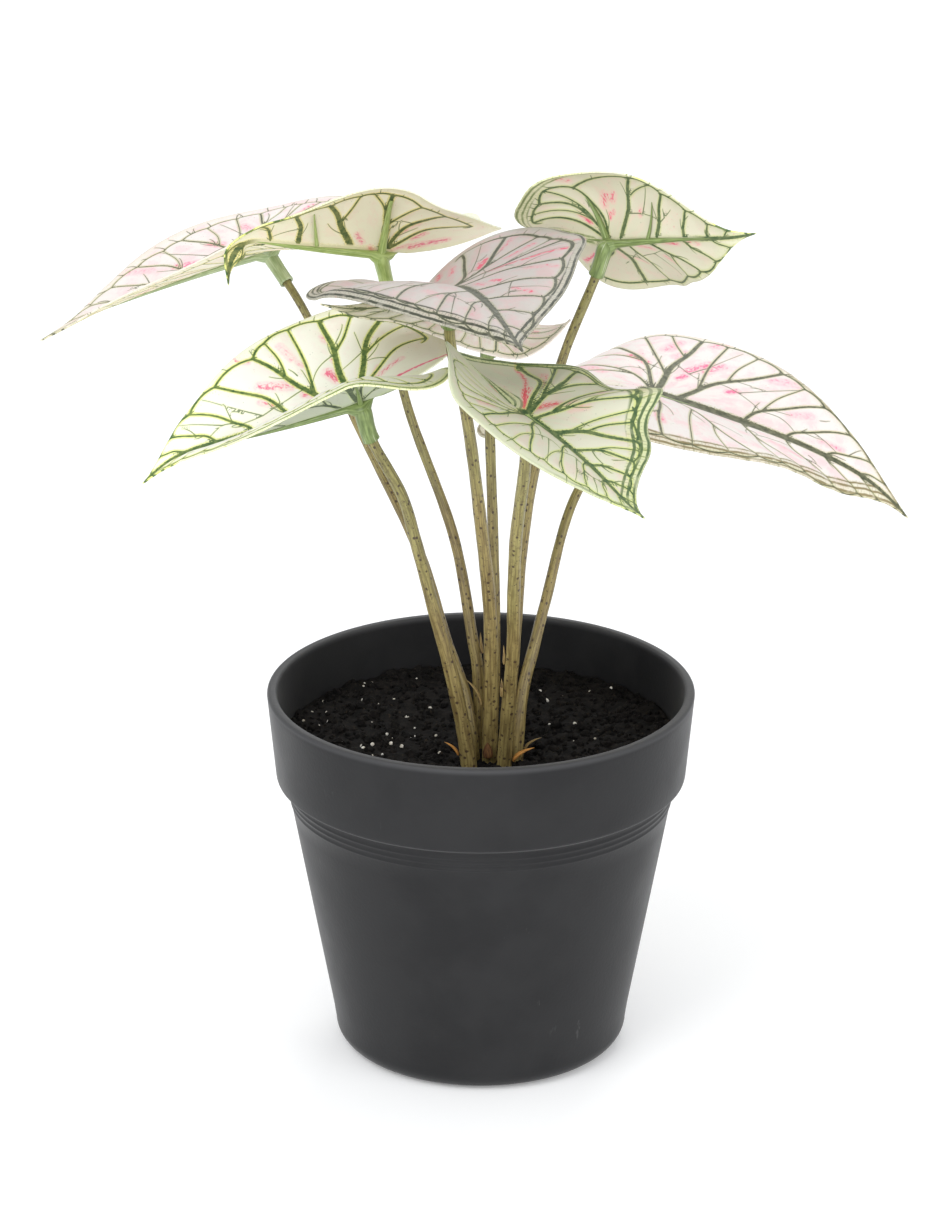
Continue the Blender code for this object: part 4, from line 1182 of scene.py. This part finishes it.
def stem_radius(leaf, share):
    base, top = leaf["stem_radius"]
    return top + (base - top) * np.clip(1 - share, 0, 1) ** STEM_TAPER


def build_stem(name, leaf, path, finish):
    """A stem with shallow grooves along it, slightly uneven, from in the soil into its collar."""
    draw = np.random.default_rng(PRINTS[name]["seed"])
    end = path.length - 2 * SOCKET_CLEARANCE
    distances = np.linspace(STEM_DEPTH * 0.3, end, int(end / STEM_STEP))
    phase = draw.uniform(0, 2 * np.pi, 4)
    swell = 1 + 0.02 * np.sin(distances * 260 + phase[0]) + 0.012 * np.sin(distances * 610 + phase[1])
    free = ease((path.length - COLLAR_LENGTH - distances) / 0.004)
    radii = stem_radius(leaf, distances / end) * (1 + (swell - 1) * free)

    def grooves(angles, ring):
        turn = 14 * distances[ring]
        ridge = 0.035 * np.cos(3 * angles + phase[2] + turn)
        ridge = ridge + 0.018 * np.cos(7 * angles + phase[3] - turn)
        return 1 + (ridge - 0.03) * free[ring]

    points, faces, places = tube(path, distances, radii, STEM_SIDES, grooves)
    shifted = places * (1, 1, 1000) + (0, 0, 90 * phase[0])
    fields = [("round", shifted), ("height", places[:, 2] / end)]
    stem = new_mesh(f"stem_{name}", points, faces, [finish], fields)
    return finish_piece(stem, "stem_plastic", f"petiole_{name}")


def stem_finish():
    """Olive plastic, streaked along its length, greener towards the leaf, with dark specks."""
    g = Graph("olive_stem", 0.42, 0.5)
    around = g.vector("round")
    streak = g.noise(g.scaled(around, (1.7, 1.7, 0.05)), 2.2, 3.0, 0.6)
    light = g.step(streak, 0.32, 0.68)
    olive = g.mix(light, (0.150, 0.106, 0.038), (0.330, 0.258, 0.094))
    green = g.mix(light, (0.150, 0.128, 0.040), (0.315, 0.285, 0.102))
    drift = g.times_plus(g.noise(g.scaled(around, (0.3, 0.3, 0.03)), 1.0, 2.0), 0.8, -0.4)
    olive = g.mix(g.step(g.add(g.number("height"), drift), 0.35, 0.85), olive, green)
    mottle = g.patches(g.scaled(around, (1.0, 1.0, 0.40)), 1.5, 3.0, 0.50, 0.72, 0.0, 0.54, 0.65)
    olive = g.mix(mottle, olive, (0.098, 0.062, 0.027))
    speck = g.step(g.cells(g.scaled(around, (1.6, 1.6, 0.9)), 1.0), 0.24, 0.14)
    chosen = g.patches(g.scaled(around, (0.8, 0.8, 0.4)), 1.3, 1.0, 0.46, 0.54)
    blot = g.step(g.cells(g.scaled(around, (0.95, 0.95, 0.45)), 1.0), 0.26, 0.17)
    speck = g.most(g.times(speck, chosen), blot)
    g.colour(g.mix(g.times(speck, 0.85), olive, (0.036, 0.016, 0.014)))
    g.rough(g.step(streak, 0.2, 0.8, 0.34, 0.52))
    g.bump(g.add(g.times(streak, 0.7), g.times(speck, -0.4)), 0.00022, 0.5)
    return g.material


def build_collar(name, leaf, path, finish):
    """The socket that takes the stem's end: its bore, its mouth and its outside, which opens out
    under the hub and ends in a dome."""
    dome = collar_radius(leaf)
    bore = dome - COLLAR_WALL
    top = path.length
    mouth = top - COLLAR_LENGTH
    inner = np.linspace(top - SOCKET_CLEARANCE, mouth + 0.0002, 6)
    outer = np.linspace(mouth + 0.0002, top, 18)
    turns = np.radians(np.linspace(12, 84, 7))
    distances = np.concatenate([inner, [mouth], outer, top + dome * np.sin(turns)])
    walls = [np.full(len(inner), bore), [(bore + dome) / 2], np.full(len(outer), dome)]
    radii = np.concatenate([*walls, dome * np.cos(turns)])
    bead = 0.05 * np.exp(-((distances - mouth) / 0.0009) ** 2)
    flare = 1 + bead + 0.07 * ease((distances - top + 0.006) / 0.006)
    outside = np.arange(len(distances)) > len(inner)
    flare = np.where(outside, flare, 1.0)

    def ribbed(angles, ring):
        return flare[ring] * (1 + outside[ring] * 0.012 * np.cos(5 * angles + distances[ring] * 120))

    return round_part(f"collar_{name}", path, distances, radii, COLLAR_SIDES, finish, ribbed)


def build_rib_frame(name, leaf, path, finish):
    """A collar round the stem's end and the ribs that leave it, in one piece."""
    parts = [build_collar(name, leaf, path, finish)]
    hold = SHEET_THICKNESS / 2
    u = np.linspace(RIB_BACK, RIB_FRONT, 60)
    ahead = np.maximum(u, 0)
    swell = collar_radius(leaf) * np.exp(-(ahead / 0.07) ** 2) * ease((u - RIB_BACK) / 0.09)
    radii = np.maximum(RIB_TOP_RADIUS * (1 - ahead / RIB_FRONT) ** 0.8, swell)
    radii = 0.00012 + radii * ease((u - RIB_BACK) / 0.05)
    rib_path = Path(under_midrib(leaf, u, hold + radii * RIB_SUNK))
    parts.append(round_part(f"rib_{name}", rib_path, rib_path.along, radii, RIB_SIDES, finish))
    for number, (places, wide, narrow) in enumerate(SIDE_RIBS.get(name, PAIRED_RIBS)):
        line = smooth_curve(places, 12)
        radii = np.linspace(wide, narrow, len(line)) / 1000
        points, normals = sheet_points(leaf, *line.T)
        side_path = Path(points - normals * (hold + radii * SIDE_RIB_SUNK)[:, None])
        parts.append(round_part(
            f"rib_{name}_{number}", side_path, side_path.along, radii, SIDE_RIB_SIDES, finish))
    joined = joined_parts(f"rib_frame_{name}_shape", parts)
    return finish_piece(joined, "rib_plastic", f"rib_frame_{name}")


def rib_finish(name, dark, light):
    """Streaked green plastic with pale lines along it, which are painted highlights."""
    g = Graph(name, 0.32, 0.5)
    around = g.vector("round")
    streak = g.noise(g.scaled(around, (1.5, 1.5, 0.07)), 2.0, 3.0, 0.6)
    tone = g.mix(g.step(streak, 0.32, 0.70), dark, light)
    patch = g.patches(g.scaled(around, (0.5, 0.5, 0.22)), 1.0, 2.0, 0.45, 0.7, 0.0, 0.5)
    # Painted highlight: pale lines along the rib, mixed towards pale green-white.
    line = g.patches(g.scaled(around, (2.6, 2.6, 0.05)), 1.6, 1.0, 0.62, 0.70)
    g.colour(g.mix(g.times(line, 0.45), g.mix(patch, tone, dark), (0.72, 0.76, 0.56)))
    g.rough(g.step(streak, 0.2, 0.8, 0.26, 0.42))
    g.bump(streak, 0.00016, 0.4)
    return g.material


def build_sheath_tip(number, finish, path, leaf, height, bearing, lean, length, radius):
    """A dried pointed flake, flat against its stem at the foot and curling away at its tip."""
    distance = float(np.interp(height, path.points[:, 2], path.along))
    centre, tangent, _ = (row[0] for row in path.at(distance))
    turn = math.radians(bearing)
    away = np.array([math.cos(turn), math.sin(turn), 0.0])
    away = unit(away - tangent * away.dot(tangent))
    foot = centre + away * (stem_radius(leaf, distance / path.length) + radius * 0.5)
    slant = math.tan(math.radians(lean))
    shares = np.linspace(0, 1, 24)
    rise = length * shares[:, None] * math.cos(math.radians(lean))
    line = Path(foot + tangent * rise + away * rise * slant * (0.35 + 0.65 * shares[:, None] ** 1.5))
    line.sides = np.repeat(away[None, :], len(line.points), axis=0)
    widths = radius * np.clip(0.75 + 1.1 * shares, 0, 1) * (1 - shares ** 2.4) + 0.00006
    tip = round_part(
        f"dried_sheath_{number}", line, line.along, widths * 1.15, SHEATH_SIDES, finish,
        flatten=SHEATH_FLATNESS, shift=20 * number)
    return finish_piece(tip, "dried_sheath", f"sheath_tip_{number}")


def sheath_finish(name, light, dark):
    """Dry fibres with a few dark spots."""
    g = Graph(name, 0.6, 0.35)
    around = g.vector("round")
    fibre = g.noise(g.scaled(around, (1.4, 1.4, 0.16)), 2.4, 3.0, 0.6)
    tone = g.mix(g.step(fibre, 0.35, 0.68), dark, light)
    spot = g.patches(g.scaled(around, (0.4, 0.4, 0.3)), 1.3, 2.0, 0.60, 0.68)
    g.colour(g.mix(g.times(spot, 0.8), tone, (0.045, 0.018, 0.016)))
    g.bump(fibre, 0.00025, 0.6)
    return g.material


def pot_profile():
    """Heights and radii round the pot's wall, from the middle of its underside to its floor."""
    band_foot = POT_HEIGHT - BAND_HEIGHT
    shoulder_z = band_foot - SHOULDER_DROP
    lip_z = POT_HEIGHT - LIP_ROUND

    def outside(z):
        if z >= band_foot:
            return BAND_FOOT_RADIUS + (LIP_RADIUS - BAND_FOOT_RADIUS) * (z - band_foot) / BAND_HEIGHT
        return FOOT_RADIUS + (SHOULDER_RADIUS - FOOT_RADIUS) * z / shoulder_z

    def inside(z):
        if z >= band_foot:
            return outside(z) - BAND_WALL
        return min(outside(z) - WALL, outside(band_foot) - BAND_WALL)

    def arc(centre_r, centre_z, radius, start, count):
        angles = np.radians(np.linspace(start, start + 90, count))
        return [(centre_z + radius * math.sin(a), centre_r + radius * math.cos(a)) for a in angles]

    line = [(0.0, FOOT_RADIUS * 0.5)]
    line += arc(outside(FOOT_ROUND * 1.15) - FOOT_ROUND, FOOT_ROUND, FOOT_ROUND, -90, 12)
    line += [(z, outside(z)) for z in np.linspace(0.012, 0.074, 14)]
    for drop in reversed(RING_DROPS):
        for offset, height in RING_SECTION:
            z = shoulder_z - drop + offset
            line.append((z, outside(z) + height))
    line += [
        (shoulder_z - 0.0006, outside(shoulder_z - 0.0006)),
        (shoulder_z, SHOULDER_RADIUS + 0.0002),
        (shoulder_z + 0.0004, SHOULDER_RADIUS + 0.0009),
        (band_foot - 0.0004, BAND_FOOT_RADIUS - 0.0006),
        (band_foot, BAND_FOOT_RADIUS - 0.0001),
        (band_foot + 0.0006, outside(band_foot + 0.0006)),
    ]
    line += [(z, outside(z)) for z in np.linspace(band_foot + 0.004, lip_z - 0.002, 7)]
    line += arc(outside(lip_z) - LIP_ROUND, lip_z, LIP_ROUND, 0, 6)
    line += arc(inside(lip_z) + LIP_ROUND, lip_z, LIP_ROUND, 90, 6)
    heights = (lip_z - 0.006, band_foot + 0.006, band_foot, shoulder_z, FLOOR + FOOT_ROUND)
    line += [(z, inside(z)) for z in heights]
    return line + [(FLOOR, FOOT_RADIUS - FOOT_ROUND), (FLOOR, 0.01)]


def turned(name, profile, sides, finish):
    """A closed turned body: (height, radius) rings with a pole at both ends."""
    axis = Path([(0, 0, 0), (0, 0, POT_HEIGHT)])
    heights, radii = np.array(profile).T
    points, faces, _ = tube(axis, heights, radii, sides)
    made = new_mesh(name, points, faces, [finish])
    shape = bmesh.new()
    shape.from_mesh(made.data)
    bmesh.ops.recalc_face_normals(shape, faces=shape.faces)
    shape.to_mesh(made.data)
    shape.free()
    made.data.set_sharp_from_angle(angle=math.radians(50))
    return made


def pot_finish():
    """Charcoal plastic, faintly clouded and scuffed, with a painted highlight that makes its rim
    paler.
    """
    g = Graph("charcoal_pot", 0.5, 0.22)
    g.set("Sheen Weight", 0.14)
    g.set("Sheen Roughness", 0.35)
    place = g.place()
    cloud = g.noise(place, 42.0, 3.0, 0.55)
    tone = g.mix(g.step(cloud, 0.3, 0.7), (0.0115, 0.0115, 0.0125), (0.018, 0.018, 0.019))
    scuff = g.patches(g.scaled(place, (1.0, 1.0, 0.25)), 330.0, 3.0, 0.66, 0.76, roughness=0.7)
    worn = g.patches(place, 30.0, 2.0, 0.45, 0.65)
    tone = g.mix(g.times(g.times(scuff, worn), 0.30), tone, (0.10, 0.10, 0.10))
    # Painted highlight: the top of the rim is mixed towards pale grey.
    lip_highlight = g.step(g.split(place)[2], POT_HEIGHT - 0.0022, POT_HEIGHT - 0.0004)
    g.colour(g.mix(g.times(lip_highlight, 0.35), tone, (0.11, 0.11, 0.115)))
    g.rough(g.step(cloud, 0.25, 0.75, 0.44, 0.58))
    g.bump(g.noise(place, 900.0, 2.0, 0.6), 0.00012, 0.35)
    return g.material


def soil_height(x, y):
    """The soil's rough surface: the dished bed with lumps of three sizes."""
    lumps = 0
    for height, often, shift in SOIL_LUMPS:
        lumps += height * noise.noise(Vector((x * often, y * often, shift)))
    return np.interp(math.hypot(x, y), SOIL_RADII, SOIL_HEIGHTS) + lumps


def build_soil_bed(finish):
    """The rough top of the soil, closed by a smooth side and bottom inside the pot."""
    wall = LIP_RADIUS - BAND_WALL - SOIL_GAP
    rings = int(wall / SOIL_STEP)
    points = [(0.0, 0.0, soil_height(0.0, 0.0))]
    firsts = []
    for ring in range(1, rings + 1):
        radius = wall * ring / rings
        firsts.append(len(points))
        for step in range(6 * ring):
            angle = 2 * math.pi * (step + 0.5 * (ring % 2)) / (6 * ring)
            x, y = radius * math.cos(angle), radius * math.sin(angle)
            points.append((x, y, soil_height(x, y)))
    faces = [face for ring in range(1, rings + 1) for face in ring_strip(ring, firsts)]
    rim = firsts[-1]
    top = len(points)
    count = 6 * rings
    low = ((FLOOR + FOOT_ROUND, FOOT_RADIUS - WALL), (FLOOR + GAP, FOOT_RADIUS - FOOT_ROUND))
    for z, radius in low:
        for x, y, _ in points[rim:top]:
            share = radius / math.hypot(x, y)
            points.append((x * share, y * share, z))
    points.append((0.0, 0.0, FLOOR + GAP))
    for step in range(count):
        after = (step + 1) % count
        faces.append((rim + step, top + step, top + after, rim + after))
        faces.append((top + step, top + count + step, top + count + after, top + after))
        faces.append((top + count + step, len(points) - 1, top + count + after))
    bed = new_mesh("soil_bed", points, faces, [finish])
    return finish_piece(bed, "soil", "potting_soil")


def ring_strip(ring, firsts):
    """Triangles between one ring of a disc and the one inside it."""
    if ring == 1:
        return [(0, firsts[0] + step, firsts[0] + (step + 1) % 6) for step in range(6)]
    inner, outer = firsts[ring - 2], firsts[ring - 1]
    few, many = 6 * (ring - 1), 6 * ring
    faces = []
    i = j = 0
    while i < few or j < many:
        if i * many < j * few:
            faces.append((inner + i % few, outer + j % many, inner + (i + 1) % few))
            i += 1
        else:
            faces.append((inner + i % few, outer + j % many, outer + (j + 1) % many))
            j += 1
    return faces


def scatter_tree(name):
    """Geometry Nodes that strew rough lumps over a surface, more of them where it says so."""
    tree = bpy.data.node_groups.new(name, "GeometryNodeTree")
    numbers = ("Density", "Smallest", "Largest", "Flatness", "Raggedness")
    kinds = [("Ground", "Geometry"), *((label, "Float") for label in numbers)]
    for label, kind in (*kinds, ("Seed", "Int"), ("Finish", "Material")):
        tree.interface.new_socket(label, in_out="INPUT", socket_type=f"NodeSocket{kind}")
    tree.interface.new_socket("Lumps", in_out="OUTPUT", socket_type="NodeSocketGeometry")

    def node(kind, settings=(), *values, **inputs):
        return add_node(tree, kind, settings, *values, **inputs).outputs

    given = node("NodeGroupInput")
    seed = given["Seed"]
    share = node("GeometryNodeInputNamedAttribute", dict(data_type="FLOAT"), Name="strewn")
    times = dict(operation="MULTIPLY")
    density = node("ShaderNodeMath", times, given["Density"], share["Attribute"])
    spread = node(
        "GeometryNodeDistributePointsOnFaces", Mesh=given["Ground"], Density=density[0], Seed=seed)
    lump = node("GeometryNodeMeshIcoSphere", Radius=1.0, Subdivisions=2)
    wobble = node("ShaderNodeTexNoise", Scale=1.1, Detail=2.0)
    middle = (0.5, 0.5, 0.5)
    centred = node("ShaderNodeVectorMath", dict(operation="SUBTRACT"), wobble["Color"], middle)
    pushed = node(
        "ShaderNodeVectorMath", dict(operation="SCALE"), centred[0], Scale=given["Raggedness"])
    rough = node("GeometryNodeSetPosition", Geometry=lump["Mesh"], Offset=pushed[0])
    turn = node(
        "FunctionNodeRandomValue", dict(data_type="FLOAT_VECTOR"), _1=(6.28, 6.28, 6.28), Seed=seed)
    size = node(
        "FunctionNodeRandomValue", dict(data_type="FLOAT"), _2=given["Smallest"], _3=given["Largest"],
        Seed=seed)
    narrow = node("ShaderNodeMath", times, size[1], given["Flatness"])
    box = node("ShaderNodeCombineXYZ", {}, size[1], size[1], narrow[0])
    placed = node(
        "GeometryNodeInstanceOnPoints", Points=spread["Points"], Instance=rough["Geometry"],
        Rotation=turn["Value"], Scale=box["Vector"])
    real = node("GeometryNodeRealizeInstances", Geometry=placed["Instances"])
    flat = node("GeometryNodeSetShadeSmooth", Geometry=real["Geometry"], Shade_Smooth=False)
    dressed = node("GeometryNodeSetMaterial", Geometry=flat["Geometry"], Material=given["Finish"])
    node("NodeGroupOutput", {}, dressed["Geometry"])
    return tree


def strewn_share(kind, x, y):
    """How thickly each kind of lump lies there. Perlite lies in patches, to the left and the
    front right."""
    if math.hypot(x, y) > STREWN_RADIUS:
        return 0.0
    if kind != "perlite":
        return 1.0
    patch = 0.5 + 0.9 * noise.noise(Vector((x * 55, y * 55, 2.2)))
    left = float(ease((-x - 0.005) / 0.03))
    front_right = float(ease((x - 0.01) / 0.02)) * float(ease((-y - 0.01) / 0.02))
    return max(0.0, patch) * (0.25 + 1.0 * max(left, 0.8 * front_right))


def strew(tree, kind, finish):
    """One piece of lumps over the top of the soil."""
    wall = LIP_RADIUS - BAND_WALL - STREW_GAP
    lattice = np.arange(-wall, wall + STREW_STEP, STREW_STEP)
    count = len(lattice)
    points = [(x, y, soil_height(x, y)) for x in lattice for y in lattice]
    faces = []
    for i in range(count - 1):
        for j in range(count - 1):
            low = i * count + j
            if math.hypot(*points[low][:2]) < wall:
                faces.append((low, low + count, low + count + 1, low + 1))
    share = [strewn_share(kind, x, y) for x, y, _ in points]
    lumps = new_mesh(kind, points, faces, [finish], [("strewn", share)], smooth=False)
    step = lumps.modifiers.new("strew", "NODES")
    step.node_group = tree
    values = dict(STREWN[kind], finish=finish)
    for item in tree.interface.items_tree:
        if item.in_out == "INPUT" and item.name.lower() in values:
            step[item.identifier] = values[item.name.lower()]
    apply_modifiers(lumps)
    return finish_piece(lumps, "soil")


def soil_finish():
    """Almost black damp clods with brown fibres."""
    g = Graph("damp_soil", 0.9, 0.12)
    place = g.place()
    clod = g.noise(place, 380.0, 4.0, 0.65)
    tone = g.mix(g.step(clod, 0.35, 0.7), (0.003, 0.0028, 0.0027), (0.014, 0.012, 0.011))
    fibre = g.patches(g.scaled(place, (1.0, 0.35, 1.0)), 900.0, 2.0, 0.66, 0.74, roughness=0.6)
    g.colour(g.mix(g.times(fibre, 0.5), tone, (0.040, 0.028, 0.018)))
    g.rough(g.step(clod, 0.3, 0.7, 0.80, 0.97))
    g.bump(clod, 0.0008, 0.8)
    return g.material


def perlite_finish():
    """Pale grit, dirty in places."""
    g = Graph("perlite_grain", 0.85, 0.3)
    place = g.place()
    grain = g.noise(place, 700.0, 3.0, 0.6)
    tone = g.mix(g.step(grain, 0.3, 0.6), (0.42, 0.37, 0.29), (0.82, 0.80, 0.74))
    g.colour(g.mix(g.patches(place, 160.0, 2.0, 0.55, 0.7, 0.0, 0.7), tone, (0.30, 0.24, 0.17)))
    g.bump(grain, 0.0004, 0.7)
    return g.material


def floor_finish():
    g = Graph("pale_floor", 0.75, 0.2)
    g.colour(g.mix(g.noise(g.place(), 6.0, 3.0), (0.91, 0.91, 0.91), (0.93, 0.93, 0.925)))
    g.set("Emission Color", (1.0, 1.0, 1.0))
    g.set("Emission Strength", FLOOR_GLOW)
    return g.material


def build_stage():
    """Plain pale floor, pale surroundings, soft lights and the camera."""
    low, high = -FLOOR_REACH, FLOOR_REACH
    corners = [(low, low, 0), (high, low, 0), (high, high, 0), (low, high, 0)]
    floor = new_mesh("floor", corners, [(0, 1, 2, 3)], [floor_finish()], smooth=False)

    scene = bpy.context.scene
    scene.view_settings.view_transform = "Standard"
    scene.view_settings.look = "None"
    world = bpy.data.worlds.new("pale_room")
    world.use_nodes = True
    background = world.node_tree.nodes["Background"]
    background.inputs["Color"].default_value = ROOM_COLOUR
    background.inputs["Strength"].default_value = ROOM_STRENGTH
    scene.world = world
    for name, place, size, power in LIGHTS:
        data = bpy.data.lights.new(name, "AREA")
        data.size = size
        data.energy = power
        lamp = linked(name, data)
        lamp.location = place
        lamp.rotation_euler = (Vector(LIT_PLACE) - Vector(place)).to_track_quat("-Z", "Y").to_euler()

    lens = bpy.data.cameras.new("camera")
    lens.lens = LENS
    lens.sensor_width = 36.0
    lens.clip_start = 0.05
    lens.clip_end = 60.0
    camera = linked("camera", lens)
    camera.location = CAMERA_PLACE
    camera.rotation_euler = (math.radians(90 - CAMERA_TILT), 0.0, 0.0)
    scene.camera = camera


def build_leaves():
    """Each leaf's blade, stem and rib frame, and the dried sheath tips beside the stems."""
    faces = {}
    for name, look in PRINTS.items():
        faces[name] = [
            leaf_finish(f"print_{name}_{face}", look[face], look["pink"], face == "under")
            for face in ("upper", "under")]
    stem_plastic = stem_finish()
    ribs = {name: rib_finish(name, *tones) for name, tones in RIB_TONES.items()}
    sheaths = {name: sheath_finish(name, *tones) for name, tones in SHEATH_TONES.items()}
    paths = {}
    for name, leaf in LEAVES.items():
        paths[name] = stem_path(leaf)
        build_blade(name, leaf, faces[name])
        build_stem(name, leaf, paths[name], stem_plastic)
        build_rib_frame(name, leaf, paths[name], ribs[PRINTS[name]["rib"]])
    for number, (stem, *shape, finish) in enumerate(SHEATH_TIPS, 1):
        build_sheath_tip(number, sheaths[finish], paths[stem], LEAVES[stem], *shape)


def build_pot():
    """The pot, the soil in it and what lies strewn on the soil."""
    pot = turned("grower_pot", pot_profile(), POT_SIDES, pot_finish())
    finish_piece(pot, "pot_plastic", "pot")
    soil = soil_finish()
    build_soil_bed(soil)
    tree = scatter_tree("strewn_lumps")
    for kind in STREWN:
        strew(tree, kind, perlite_finish() if kind == "perlite" else soil)


build_stage()
build_leaves()
build_pot()
